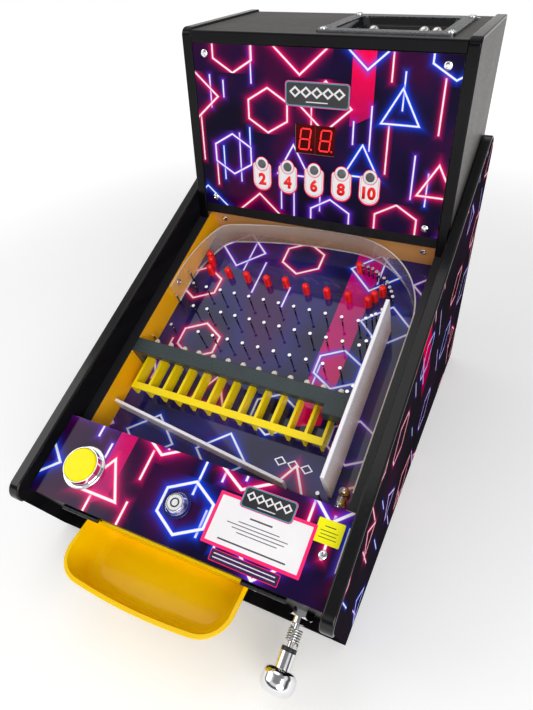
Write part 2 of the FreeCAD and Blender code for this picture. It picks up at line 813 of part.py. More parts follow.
def playfieldPins():
    nail = pin("nail", "nailRadius", "nailHeadRadius", "nailHeadHeight", "nailHeight")
    lowNail = pin("lowNail", "nailRadius", "nailHeadRadius", "nailHeadHeight", "lowNailHeight")
    post = turned("post", [("0", "0"), ("postRadius", "0"), ("postRadius", "postHeight"), ("0", "postHeight")])
    fillet(post, "postRadius * 0.85", lambda edge: near(midpoint(edge).z, "postHeight"))
    slotPin = pin("slotPin", "slotPinRadius", "slotHeadRadius", "slotHeadHeight", "nailHeight")
    fillet(slotPin, "slotHeadRadius * 0.6", lambda edge: near(midpoint(edge).z, "nailHeight"))

    rows = [("nailRowTopX", "nailRowTopV", "nailPitch", 11), ("nailRowMidX", "nailRowMidV", "nailMidPitch", 12),
            ("nailRowLowX", "nailRowLowV", "nailPitch", 10)]
    inRows = [(value(x) + number * value(pitch), value(v), 0)
              for x, v, pitch, count in rows for number in range(count)]
    # Single nails that close the gaps between the rows and the lane and the left wall
    besideLane = [(92.9, 300.6), (97.8, 305.6), (101.7, 308.7), (106.8, 316.2),
                  (102.3, 272.6), (107.1, 278.9), (105.9, 216.7), (102.1, 208.9)]
    besideWall = [(-139.8, 311), (-127.5, 297), (-140.7, 274.3), (-126.8, 233.7), (-141.3, 213.5)]
    singles = [(x, v, 0) for x, v in besideLane + besideWall]
    nails = scatter("nails", nail, inRows + singles)
    subPart(onSlope(nails, "0", "0", "-playfieldDrop"), "playfield_nails")

    # The fence curves with the guide strip, and a low nail stops the ball beside the lane
    fence = [(67, 371.3), (73.5, 370.5), (79.3, 369), (85.2, 365.5), (89.3, 363),
             (95.9, 358.6), (101, 354.2), (105.6, 347.6), (109.1, 342.4), (112.6, 335.9)]
    pins = scatter("fence", nail, [(x, v, 0) for x, v in fence])
    single = scatter("lowNailPlaced", lowNail, [(108.4, 100.1, 0)])
    for piece in (pins, single):
        onSlope(piece, "0", "0", "-playfieldDrop")
    subPart(gathered("fencePins", pins, single), "fence_pins")

    posts = [(-131.0, 349.0), (-125.8, 341.2), (-121.6, 328.7), (-96.1, 329.7), (-69.7, 329.4),
             (-42.4, 329.6), (-18.6, 332.6), (9.1, 329.4), (35.4, 330.1), (61.3, 330.9),
             (85.7, 329.5), (90.5, 338.5), (97.3, 347.7), (61.4, 375)]
    bumpers = scatter("posts", post, [(x, v, 0) for x, v in posts])
    subPart(onSlope(bumpers, "0", "0", "-playfieldDrop"), "bumper_posts")

    slots = [(value("combFirstX") + number * value("combPitch"), value("slotPinV"), 0)
             for number in range(int(value("combTeeth")))]
    heads = scatter("slotPins", slotPin, slots)
    subPart(onSlope(heads, "0", "0", "-playfieldDrop"), "slot_pins")


collectorComb()
collectorCover()
ballSensors()
playfieldPins()


# Ball tray in front, a moulded bin with a bowed front
def basin(name, left, right, front, rear, bow, depth, slant, corner, rounding):
    """A solid that narrows downwards from z 0, with rounded front corners and floor edge."""
    body = doc.addObject("PartDesign::Body", name)
    sketch = newSketch(body, "XY", [])
    x0, x1, y0, y1 = (value(size) for size in (left, right, front, rear))
    corners = [FreeCAD.Vector(*place) for place in ((x1, y1, 0), (x0, y1, 0), (x0, y0, 0), (x1, y0, 0))]
    middle = FreeCAD.Vector((x0 + x1) / 2, y0 - value(bow), 0)
    bowed = value(bow) > 0
    for index in range(4):
        here, there = corners[index], corners[(index + 1) % 4]
        if bowed and index == 2:
            sketch.addGeometry(Part.Arc(here, middle, there))
        else:
            sketch.addGeometry(Part.LineSegment(here, there))
    for index in range(4):
        sketch.addConstraint(Sketcher.Constraint("Coincident", index, 2, (index + 1) % 4, 1))
    for index, place in enumerate(((right, rear), (left, rear), (left, front), (right, front))):
        if bowed and index == 3:
            index, end = 2, 2
        else:
            end = 1
        for kind, formula in zip(("DistanceX", "DistanceY"), place):
            number = sketch.addConstraint(
                Sketcher.Constraint(kind, -1, 1, index, end, value(formula)))
            sketch.setExpression(f"Constraints[{number}]", bound(formula))
    if bowed:
        half = f"((({right}) - ({left})) / 2)"
        radius = f"({half} * {half} + ({bow}) * ({bow})) / (2 * ({bow}))"
        number = sketch.addConstraint(Sketcher.Constraint("Radius", 2, value(radius)))
        sketch.setExpression(f"Constraints[{number}]", bound(radius))
    pad = body.newObject("PartDesign::Pad", name + "Pad")
    pad.Profile = sketch
    pad.Reversed = True
    bind(pad, "Length", depth)
    doc.recompute()
    if slant:
        sides = []
        for number, face in enumerate(pad.Shape.Faces, start=1):
            place = face.CenterOfMass
            if near(place.z, "0"):
                top = f"Face{number}"
            elif not near(place.z, f"-({depth})") and not (bowed and near(place.y, rear)):
                sides.append(f"Face{number}")
        draft = body.newObject("PartDesign::Draft", name + "Draft")
        draft.Base = (pad, sides)
        draft.NeutralPlane = (pad, [top])
        bind(draft, "Angle", slant)
        draft.Reversed = True
        body.Tip = draft
        doc.recompute()

    def isCorner(edge):
        ends = [vertex.Point for vertex in edge.Vertexes]
        upright = len(ends) == 2 and abs(ends[0].z - ends[1].z) > 0.9 * value(depth)
        return upright and not (bowed and abs(midpoint(edge).y - y1) < 1)

    fillet(body, corner, isCorner)
    if rounding:
        fillet(body, rounding, lambda edge: near(midpoint(edge).z, f"-({depth})")
               and not (bowed and near(midpoint(edge).y, rear)))
    return body


def ballTray():
    """The bin leans back towards level, and its rear is trimmed along the front board."""
    outer = basin("trayOuter", "trayLeftX", "trayRightX", "-trayReach", "trayRearLap", "trayBow", "trayDepth",
                  "trayDraft", "trayCornerRadius", "trayFloorRounding")
    inner = basin("trayInner", "trayLeftX + trayWall", "trayRightX - trayWall", "trayWall - trayReach",
                  "trayRearLap", "trayBow", "trayDepth - trayWall", "trayDraft",
                  "trayCornerRadius - trayWall", "trayFloorRounding - trayWall")
    bead = basin("trayBead", "trayLeftX - trayRimOut", "trayRightX + trayRimOut",
                 "-(trayReach + trayRimOut)", "trayRearLap", "trayBow", "trayRimHeight", None,
                 "trayCornerRadius + trayRimOut", None)
    fillet(bead, "trayRimHeight * 0.35", lambda edge: not near(midpoint(edge).y, "trayRearLap")
           and (near(midpoint(edge).z, "0") or near(midpoint(edge).z, "-trayRimHeight")))
    flange = box("trayFlange", "trayFlangeLeftX", "trayFlangeRightX", "-trayWall", "0",
                 "-trayFlangeLap", "trayRimDrop - trayFlangeTop")
    fillet(flange, "3", lambda edge: near(abs(midpoint(edge).x - value("(trayFlangeLeftX + trayFlangeRightX) / 2")),
                                          "(trayFlangeRightX - trayFlangeLeftX) / 2")
           and near(midpoint(edge).z, "trayRimDrop - trayFlangeTop"))
    window = box("trayWindow", "windowLeftX", "windowRightX", "-2 * trayWall", "trayWall",
                 "trayRimDrop - playfieldDrop - playfieldSheet", "trayRimDrop - windowTop")
    behind = [box(name, "trayFlangeLeftX", "trayFlangeRightX", front, "3 * trayRearLap", "-2 * trayDepth",
                  "trayDepth")
              for name, front in (("trayBehind", "0"), ("trayBehindWall", "-trayWall"))]
    for piece in (flange, window, *behind):
        onSlope(piece, "0", "0", "-trayRimDrop")
    for piece in (outer, inner, bead):
        onSlope(piece, "0", "0", "-trayRimDrop")
        bind(piece, "Placement.Rotation.Angle", "slopeAngle - trayLean")
    bowl = boolean("Cut", "trayBowl", fuse("trayShell", outer, bead), behind[0])
    hollow = boolean("Cut", "trayHollow", inner, behind[1])
    subPart(boolean("Cut", "tray", fuse("trayBody", bowl, flange), fuse("trayInside", hollow, window)), "ball_tray")


ballTray()


# Display box at the back
def ledgeHeight(y):
    """Level height of the ledge on the well walls at a level y."""
    return f"(lidFrontHeight + ((({y}) * {SIN}) - ledgeDrop) / {COS})"


CROWN_FRONT = "(boxFront - crownThickness)"
CROWN_TOP = "(boxTop + crownThickness)"
BOX_TOP_BOTTOM = "(boxTop - boardThickness)"
PANEL_TOP = f"({BOX_TOP_BOTTOM} - panelTopGap)"


def boxSide(side, start):
    wellRear, wellFoot = slopeToLevel(WELL_REAR, f"-{PLAYFIELD_BOTTOM}")
    ledgeRear, ledgeTop = slopeToLevel(WELL_REAR, "-ledgeDrop")
    outline = [("boxFront", ledgeHeight("boxFront")), (ledgeRear, ledgeTop), (wellRear, wellFoot),
               (wellRear, "boardThickness"), ("rearReach", "boardThickness"),
               ("rearReach", "boxTop"), ("boxFront", "boxTop")]
    inner = "(boxFront + 2 * stemDepth)"
    crown = [(CROWN_FRONT, ledgeHeight(CROWN_FRONT)), (inner, ledgeHeight(inner)),
             ("rearReach", "boxTop - 2 * stemDepth"), ("rearReach", CROWN_TOP), (CROWN_FRONT, CROWN_TOP)]
    inset = "(boxFront + stemDepth)"
    band = [(CROWN_FRONT, ledgeHeight(CROWN_FRONT)), (inset, ledgeHeight(inset)),
            (inset, "boxTop - stemDepth"), ("rearReach", "boxTop - stemDepth"),
            ("rearReach", CROWN_TOP), (CROWN_FRONT, CROWN_TOP)]
    corners = [(("boxFront", "boxTop"), (CROWN_FRONT, CROWN_TOP), "boxCornerRadius")]
    board, molding = edgedBoard("box" + side, outline, corners, crown, band, start, [crown[1], crown[2]])
    for piece in (board.Base, board.Tool, molding.Shapes[0].Base):
        onLevel(piece)
    subPart(board, "backbox_side_" + side.lower())
    return molding


def displayBox():
    moldings = [boxSide("Left", f"-{BOX_OUTSIDE}"), boxSide("Right", BOX_INSIDE)]
    middle = f"(({BOX_TOP_BOTTOM} + boxTop) / 2)"
    left, right = f"-{BOX_INSIDE}", BOX_INSIDE
    cap = box("boxStripCap", left, right, CROWN_FRONT, "boxFront", BOX_TOP_BOTTOM, "boxTop")
    fillet(cap, "crownRounding", lambda edge: near(midpoint(edge).y, CROWN_FRONT) and near(midpoint(edge).x, "0"))
    stem = box("boxStripStem", left, right, "boxFront", "boxFront + stemDepth",
               f"{middle} - stemThickness / 2", f"{middle} + stemThickness / 2")
    moldings.append(fuse("boxStrip", onLevel(cap), onLevel(stem)))
    subPart(gathered("boxMoldings", *moldings), "backbox_moldings")

    hollowGap = "(dishWall + restGap)"
    top = plate("boxTopBoard", "XY",
                [rectangle(left, "boxFront", right, "rearReach"),
                 rectangle(f"dishLeftX - {hollowGap}", f"dishFrontY - {hollowGap}",
                           f"dishRightX + {hollowGap}", f"dishRearY + {hollowGap}")],
                BOX_TOP_BOTTOM, "boardThickness")
    groove = box("boxTopGroove", left, right, "boxFront - 1", "boxFront + stemDepth",
                 f"{middle} - stemThickness / 2", f"{middle} + stemThickness / 2")
    onLevel(top)
    onLevel(groove)
    subPart(boolean("Cut", "boxTop", top, groove), "backbox_top")

    rail = box("boxFrontRail", left, right, "boxFront", "boxFront + boardThickness",
               "frontRailBottom", "panelBottom - restGap")
    subPart(onLevel(rail), "backbox_front_rail")

    panelBack = "(panelFront + panelThickness)"
    cleats = [onLevel(box("cleat" + side, x0, x1, panelBack, f"{panelBack} + cleatThickness",
                          "panelBottom", PANEL_TOP))
              for side, x0, x1 in (("Left", left, f"cleatWidth - {BOX_INSIDE}"),
                                   ("Right", f"{BOX_INSIDE} - cleatWidth", right))]
    subPart(gathered("cleats", *cleats), "panel_cleats")

    inlet = ("inletX", "inletZ", "inletRadius + runningGap")
    rear = plate("rearPanel", "XZ", [rectangle(left, "boardThickness", right, BOX_TOP_BOTTOM), inlet],
                 "rearReach - boardThickness", "boardThickness")
    subPart(onLevel(rear), "rear_panel")
    socket = turned("inletSocket", [("1", "-inletDepth"), ("inletRadius", "-inletDepth"), ("inletRadius", "0"),
                                    ("inletFlangeRadius", "0"), ("inletFlangeRadius", "inletFlange"),
                                    ("inletRadius / 2", "inletFlange"), ("inletRadius / 2", "inletFlange - 10"),
                                    ("1", "inletFlange - 10")])
    contact = turned("inletContact", [("0", "-inletDepth"), ("1", "-inletDepth"), ("1", "0"), ("0", "0")])
    connector = fuse("inlet", socket, contact)
    for piece in (socket, contact):
        onLevel(piece, "inletX", "rearReach", "inletZ")
        piece.Placement = FreeCAD.Placement(piece.Placement.Base,
                                            FreeCAD.Rotation(FreeCAD.Vector(1, 0, 0), -90))
    subPart(connector, "power_inlet")


def display():
    """The picture panel, with its number display and the row of lamps under it."""
    panelBack = "(panelFront + panelThickness)"
    halfWindow = "(displayWidth / 2)"
    halfHeight = "(displayHeight / 2)"
    lamps = [f"{number} * lampPitch" for number in (-2, -1, 0, 1, 2)]
    holes = [(x, "lampZ", "lampRadius + runningGap") for x in lamps]
    window = rectangle(f"-{halfWindow}", f"displayZ - {halfHeight}", halfWindow, f"displayZ + {halfHeight}")
    outline = rectangle(f"-({BOX_INSIDE} - panelGap)", "panelBottom", f"{BOX_INSIDE} - panelGap", PANEL_TOP)
    panel = plate("artPanel", "XZ", [outline, window] + holes, "panelFront", "panelThickness")
    subPart(onLevel(panel), "art_panel")

    pane = plate("displayPane", "XZ",
                 [rectangle(f"runningGap - {halfWindow}", f"displayZ - {halfHeight} + runningGap",
                            f"{halfWindow} - runningGap", f"displayZ + {halfHeight} - runningGap")],
                 "panelFront + 0.8", "panelThickness - 0.8")
    subPart(onLevel(pane), "display_window")
    module = plate("displayModule", "XZ",
                   [rectangle("-moduleWidth / 2", "displayZ - moduleHeight / 2",
                              "moduleWidth / 2", "displayZ + moduleHeight / 2")], panelBack, "moduleDepth")
    subPart(onLevel(module), "display_module")
    board = plate("displayCircuit", "XZ",
                  [rectangle("-circuitWidth / 2", "lampZ - lampRadius - circuitMargin", "circuitWidth / 2",
                             "displayZ + moduleHeight / 2 + circuitMargin / 2")],
                  f"{panelBack} + moduleDepth", "circuitThickness")
    subPart(onLevel(board), "display_board")

    # A lamp stands on the circuit board and looks out through the panel and its bezel
    length = "(panelThickness + moduleDepth + lampReach)"
    lamp = turned("lamp", [("0", "0"), ("lampRadius", "0"), ("lampRadius", length), ("0", length)])
    fillet(lamp, "lampRadius * 0.5", lambda edge: near(midpoint(edge).z, length))
    bezel = turned("bezel", [("lampRadius + runningGap", "0"), ("bezelRadius", "0"),
                             ("bezelRadius", "bezelHeight"), ("lampRadius + runningGap", "bezelHeight")])
    fillet(bezel, "bezelHeight * 0.6", lambda edge: near(midpoint(edge).z, "bezelHeight")
           and near(edge.Curve.Radius, "bezelRadius"))
    facing = FreeCAD.Rotation(FreeCAD.Vector(1, 0, 0), 90)
    for master, label, y in ((lamp, "score_lamps", f"{panelBack} + moduleDepth"),
                             (bezel, "lamp_bezels", "panelFront")):
        master.Placement = FreeCAD.Placement(FreeCAD.Vector(), facing)
        row = scatter(label + "Row", master, [(value(x), value(y), value("lampZ")) for x in lamps])
        subPart(onLevel(row), label)


def dish():
    """The ball dish, whose flange lies in a rebate under the frame."""
    top = "(boxTop + dishFlangeThickness)"
    wall = "dishWall"
    outer = basin("dishOuter", f"dishLeftX - {wall}", f"dishRightX + {wall}", f"dishFrontY - {wall}",
                  f"dishRearY + {wall}", "0", f"dishDepth + {wall}", "dishSlant", f"dishCorner + {wall}",
                  f"dishFloorRounding + {wall}")
    inner = basin("dishInner", "dishLeftX", "dishRightX", "dishFrontY", "dishRearY", "0", "dishDepth",
                  "dishSlant", "dishCorner", "dishFloorRounding")
    reach = "(dishWall + dishFlange)"
    flange = box("dishFlangePlate", f"dishLeftX - {reach}", f"dishRightX + {reach}", f"dishFrontY - {reach}",
                 f"dishRearY + {reach}", "-dishFlangeThickness", "0")
    for piece in (outer, inner, flange):
        onLevel(piece, "0", "0", top)
    subPart(boolean("Cut", "dish", fuse("dishBody", outer, flange), inner), "ball_dish")

    plateWithHole = plate("dishFramePlate", "XY",
                          [rectangle("frameLeftX", "frameFrontY", "frameRightX", "frameRearY"),
                           rectangle("dishLeftX", "dishFrontY", "dishRightX", "dishRearY")],
                          "boxTop", "frameThickness")
    fillet(plateWithHole, "frameCorner",
           lambda edge: near(midpoint(edge).z, "boxTop + frameThickness / 2")
           and (near(midpoint(edge).x, "frameLeftX") or near(midpoint(edge).x, "frameRightX")))
    fillet(plateWithHole, "dishCorner",
           lambda edge: near(midpoint(edge).z, "boxTop + frameThickness / 2")
           and (near(midpoint(edge).x, "dishLeftX") or near(midpoint(edge).x, "dishRightX"))
           and (near(midpoint(edge).y, "dishFrontY") or near(midpoint(edge).y, "dishRearY")))
    gap = "(dishWall + dishFlange + restGap)"
    rebate = box("dishFrameRebate", f"dishLeftX - {gap}", f"dishRightX + {gap}", f"dishFrontY - {gap}",
                 f"dishRearY + {gap}", "boxTop - 1", f"{top} + runningGap")
    onLevel(plateWithHole)
    onLevel(rebate)
    subPart(boolean("Cut", "dishFrame", plateWithHole, rebate), "dish_frame")

    ball = doc.addObject("Part::Sphere", "storedBall")
    bind(ball, "Radius", "ballRadius")
    doc.recompute()
    balls = scatter("storedBalls", ball, [(45, 401, 0), (94.7, 404, 0), (107.5, 401.5, 0)])
    subPart(onLevel(balls, "0", "0", f"{top} - dishDepth + ballRadius + 0.02"), "stored_balls")


displayBox()
display()
dish()


# Plunger, which is pulled out along the slope
def arcsBetween(start, ahead, end, onward):
    """Two arcs, each tangent to the other, that join two places with set directions."""
    across = end - start
    together = ahead + onward
    square = 2 * (1 - ahead.dot(onward))
    if square < 1e-9:
        reach = across.dot(across) / (2 * across.dot(together))
    else:
        along = across.dot(together)
        reach = (math.sqrt(along * along + square * across.dot(across)) - along) / square
    first = start + ahead * reach
    second = end - onward * reach
    joint = (first + second) * 0.5
    edges = []
    for here, corner, there in ((start, first, joint), (joint, second, end)):
        middle = (here + there) * 0.5
        half = (here - middle).Length
        rise = (corner - middle).Length
        angle = math.atan2(half, rise)
        bend = half / math.cos(angle) * (1 - math.sin(angle))
        outward = (corner - middle) * (1 / rise)
        edges.append(Part.Arc(here, middle + outward * bend, there).toShape())
    return edges


def coil(name, diameter, wire, turns, length):
    """A compression spring about the upright axis, wound as one unbroken wire."""
    radius = (diameter - wire) / 2
    lead = math.radians(50)
    climb = 0.45 * radius
    straight = wire
    total = 2 * math.pi * turns
    slope = (length - 2 * (straight + climb)) / (total - 2 * lead)

    def onCoil(angle):
        place = FreeCAD.Vector(radius * math.cos(angle), radius * math.sin(angle),
                               straight + climb + slope * (angle - lead))
        ahead = FreeCAD.Vector(-radius * math.sin(angle), radius * math.cos(angle), slope)
        return place, ahead.normalize()

    up = FreeCAD.Vector(0, 0, 1)
    foot = FreeCAD.Vector(radius, 0, 0)
    head = FreeCAD.Vector(radius * math.cos(total), radius * math.sin(total), length)
    count = math.ceil((total - 2 * lead) / (math.pi / 2))
    stations = [(foot + up * straight, up)]
    stations += [onCoil(lead + (total - 2 * lead) * number / count) for number in range(count + 1)]
    stations.append((head - up * straight, up))
    edges = [Part.makeLine(foot, stations[0][0])]
    for (here, ahead), (there, onward) in zip(stations, stations[1:]):
        edges += arcsBetween(here, ahead, there, onward)
    edges.append(Part.makeLine(stations[-1][0], head))
    path = Part.Wire(edges)
    profile = Part.Wire([Part.Circle(foot, up, wire / 2).toShape()])
    shape = path.makePipeShell([profile], True, False)

    # The least gap between turns, on points along the wire
    points = path.discretize(Distance=wire / 3)
    apart = max(3, int(math.pi * radius / (wire / 3)))
    least = min((points[i] - points[j]).Length for i in range(len(points)) for j in range(i + apart, len(points)))
    print(name, "least gap between turns", round(least - wire, 2),
          "volume over section times length", round(shape.Volume / (math.pi * wire * wire / 4 * path.Length), 4))
    return solidFeature(name, shape)


def plunger():
    bore = "rodRadius + runningGap"
    sleeve = turned("sleeveTurned", [(bore, "-sleeveFront"), ("sleeveRadius", "-sleeveFront"),
                                     ("sleeveRadius", "boardThickness"),
                                     ("sleeveFlangeRadius", "boardThickness"),
                                     ("sleeveFlangeRadius", "boardThickness + sleeveFlange"),
                                     ("sleeveRadius", "boardThickness + sleeveFlange"),
                                     ("sleeveRadius", "sleeveRear"), (bore, "sleeveRear")])
    # A flat under the flange clears the playfield and keeps the sleeve from turning
    flat = box("sleeveFlat", "plungerX - 2 * sleeveFlangeRadius", "plungerX + 2 * sleeveFlangeRadius",
               "boardThickness", "2 * sleeveRear", "-2 * playfieldDrop", "runningGap - playfieldDrop")
    alongSlope(sleeve, "plungerX", f"-{PLUNGER_DROP}")
    onSlope(flat)
    subPart(boolean("Cut", "sleeve", sleeve, flat), "plunger_sleeve")

    halfFlats = "(nutAcrossFlats / 2)"
    corner = "(nutAcrossFlats / sqrt(3))"
    hexagon = [(corner, "0"), (f"{corner} / 2", halfFlats), (f"-{corner} / 2", halfFlats), (f"-{corner}", "0"),
               (f"-{corner} / 2", f"-{halfFlats}"), (f"{corner} / 2", f"-{halfFlats}")]
    nut = plate("nutHex", "XY", [hexagon, ("0", "0", "sleeveRadius + runningGap")], "-nutThickness", "nutThickness")
    cone = turned("nutCone", [("0", "-nutThickness"), (halfFlats, "-nutThickness"),
                              (f"{halfFlats} + nutThickness", "0"), ("0", "0")])
    alongSlope(nut, "plungerX", f"-{PLUNGER_DROP}")
    alongSlope(cone, "plungerX", f"-{PLUNGER_DROP}")
    subPart(boolean("Common", "nut", nut, cone), "plunger_nut")

    washerFront = "(washerRear - washerThickness)"
    collarFront = "(outerSpringEnd + collarThickness)"
    tip = "(washerRear + tipLength)"
    rod = turned("rod", [("0", f"-{collarFront}"), ("rodRadius", f"-{collarFront}"), ("rodRadius", washerFront),
                         ("washerRadius", washerFront), ("washerRadius", "washerRear"),
                         ("tipRadius", "washerRear"), ("tipRadius", tip), ("0", tip)])
    fillet(rod, "1", lambda edge: near(midpoint(edge).z, tip))
    subPart(alongSlope(rod, "plungerX", f"-{PLUNGER_DROP}"), "plunger_rod")
    collar = turned("collar", [("rodRadius + runningGap", f"-{collarFront}"), ("collarRadius", f"-{collarFront}"),
                               ("collarRadius", "-outerSpringEnd"), ("rodRadius + runningGap", "-outerSpringEnd")])
    fillet(collar, "collarThickness * 0.2", lambda edge: hasattr(edge.Curve, "Radius")
           and near(edge.Curve.Radius, "collarRadius"))
    subPart(alongSlope(collar, "plungerX", f"-{PLUNGER_DROP}"), "plunger_collar")
    neckFront = f"({collarFront} + neckLength)"
    knobFront = f"({neckFront} + knobThickness)"
    knob = turned("knob", [("0", f"-{knobFront}"), ("knobRadius", f"-{knobFront}"), ("knobRadius", f"-{neckFront}"),
                           ("neckRadius", f"-{neckFront}"), ("neckRadius", f"-{collarFront}"),
                           ("0", f"-{collarFront}")])
    for rounding, height in (("knobRounding", knobFront), ("knobBackRounding", neckFront)):
        fillet(knob, rounding, lambda edge: hasattr(edge.Curve, "Radius")
               and near(edge.Curve.Radius, "knobRadius") and near(midpoint(edge).z, f"-{height}"))
    subPart(alongSlope(knob, "plungerX", f"-{PLUNGER_DROP}"), "plunger_knob")

    outer = coil("outerSpring", value("outerSpringDiameter"), value("outerSpringWire"),
                 value("outerSpringTurns"), value("outerSpringEnd - sleeveFront - 2 * restGap"))
    subPart(alongSlope(outer, "plungerX", f"-{PLUNGER_DROP}", "restGap - outerSpringEnd"),
            "plunger_outer_spring")
    inner = coil("innerSpring", value("innerSpringDiameter"), value("innerSpringWire"),
                 value("innerSpringTurns"), value(f"{washerFront} - sleeveRear - 2 * restGap"))
    subPart(alongSlope(inner, "plungerX", f"-{PLUNGER_DROP}", "sleeveRear + restGap"), "plunger_spring")

    ball = doc.addObject("Part::Sphere", "shotBall")
    bind(ball, "Radius", "ballRadius")
    subPart(onSlope(ball, "plungerX", f"{tip} + 0.2 + ballRadius", "ballRadius + runningGap - playfieldDrop"),
            "ball")


plunger()


# Lid, which swings up about two hinges on the front edge
PIN_V = "-hingeSetOut"
PIN_W = f"-{PIN_DROP}"
KNUCKLES = 5


def hinge(side, middle):
    """One butt hinge: the leaf with the pin on the front board, and the leaf under the lid."""
    width = f"((hingeWidth - {KNUCKLES - 1} * restGap) / {KNUCKLES})"
    pitch = f"({width} + restGap)"
    left = f"({middle} - hingeWidth / 2)"

    def knuckles(name, first, count, bore):
        loops = [(PIN_V, PIN_W, "hingeKnuckleRadius")] + ([(PIN_V, PIN_W, bore)] if bore else [])
        body = plate(name, "YZ", loops, f"{left} + {first} * {pitch}", width)
        row = body.newObject("PartDesign::LinearPattern", name + "Row")
        row.Originals = [body.Tip]
        row.Direction = (body.Tip.Profile[0], ["N_Axis"])
        bind(row, "Length", f"2 * {count - 1} * {pitch}")
        row.Occurrences = count
        body.Tip = row
        doc.recompute()
        return body

    fixed = knuckles("hingeFixed" + side, 0, 3, None)
    pin = plate("hingePin" + side, "YZ", [(PIN_V, PIN_W, "hingePinRadius")], left, "hingeWidth")
    leafFoot = f"({PIN_W} - hingeFixedLeafDrop)"
    leaf = box("hingeLeaf" + side, left, f"{left} + hingeWidth", "-hingeLeafThickness", "0", leafFoot, PIN_W)
    notches = [box(f"hingeNotch{side}{index}", f"{left} + {index} * {pitch} - restGap",
                   f"{left} + {index} * {pitch} + {width} + restGap", "-2 * hingeLeafThickness", "1",
                   f"{PIN_W} - hingeKnuckleRadius - 2 * restGap", "0") for index in (1, 3)]
    notched = boolean("Cut", "hingeLeafNotched" + side, leaf, fuse("hingeNotches" + side, *notches))
    lidLeafTop = f"-{LID_BOTTOM}"
    lidLeafFoot = f"({lidLeafTop} - hingeLeafThickness)"
    moving = knuckles("hingeMoving" + side, 1, 2, None)
    lidLeaf = box("hingeLidLeaf" + side, left, f"{left} + hingeWidth", "restGap", "hingeLidLeafReach",
                  lidLeafFoot, lidLeafTop)
    tabs = [box(f"hingeTab{side}{index}", f"{left} + {index} * {pitch}", f"{left} + {index} * {pitch} + {width}",
                PIN_V, "1", lidLeafFoot, lidLeafTop) for index in (1, 3)]
    bore = plate("hingeBore" + side, "YZ", [(PIN_V, PIN_W, "hingePinRadius + runningGap")],
                 left, "hingeWidth")
    for piece in [fixed, pin, leaf, moving, lidLeaf, bore] + notches + tabs:
        onSlope(piece)
    still = fuse("hingeStill" + side, fixed, pin, notched)
    swinging = boolean("Cut", "hingeSwinging" + side, fuse("hingeSwingingBody" + side, moving, lidLeaf, *tabs), bore)
    return still, swinging


def lid():
    left = hinge("Left", "hingeLeftX")
    right = hinge("Right", "hingeRightX")
    subPart(gathered("hingesFixed", left[0], right[0]), "hinge_leaves_fixed")
    subPart(gathered("hingesMoving", left[1], right[1]), "hinge_leaves_lid")

    half = f"({HALF_INSIDE} - lidSideGap)"
    holes = [("buttonX", "buttonV", "buttonBarrelRadius + lidHoleGap"),
             ("lockX", "lockV", "lockBarrelRadius + lidHoleGap")]
    outline = rectangle(f"-{half}", "0", half, "lidLength")
    board = plate("lidBoard", "XY", [outline] + holes, f"-{LID_BOTTOM}", "lidBoardThickness")
    subPart(onSlope(board), "lid_board")
    sheet = plate("lidSheet", "XY", [outline] + holes, "-lidSheetThickness", "lidSheetThickness")
    subPart(onSlope(sheet), "lid_sheet")

    # Rail that the lid lies on and locks to
    railLeft, railRight = f"-{WELL_INSIDE}", WELL_INSIDE
    railTop = f"-({LID_BOTTOM} + restGap)"
    rail = box("latchRail", railLeft, railRight, "latchRailV", "latchRailV + boardThickness",
               "-latchRailDrop", railTop)
    catch = box("latchCatch", "lockX - catchWidth / 2", "lockX + catchWidth / 2", "latchRailV - 4",
                "latchRailV + boardThickness", "-(latchRailDrop + catchThickness)", "-latchRailDrop")
    subPart(gathered("latch", onSlope(rail), onSlope(catch)), "latch_rail")


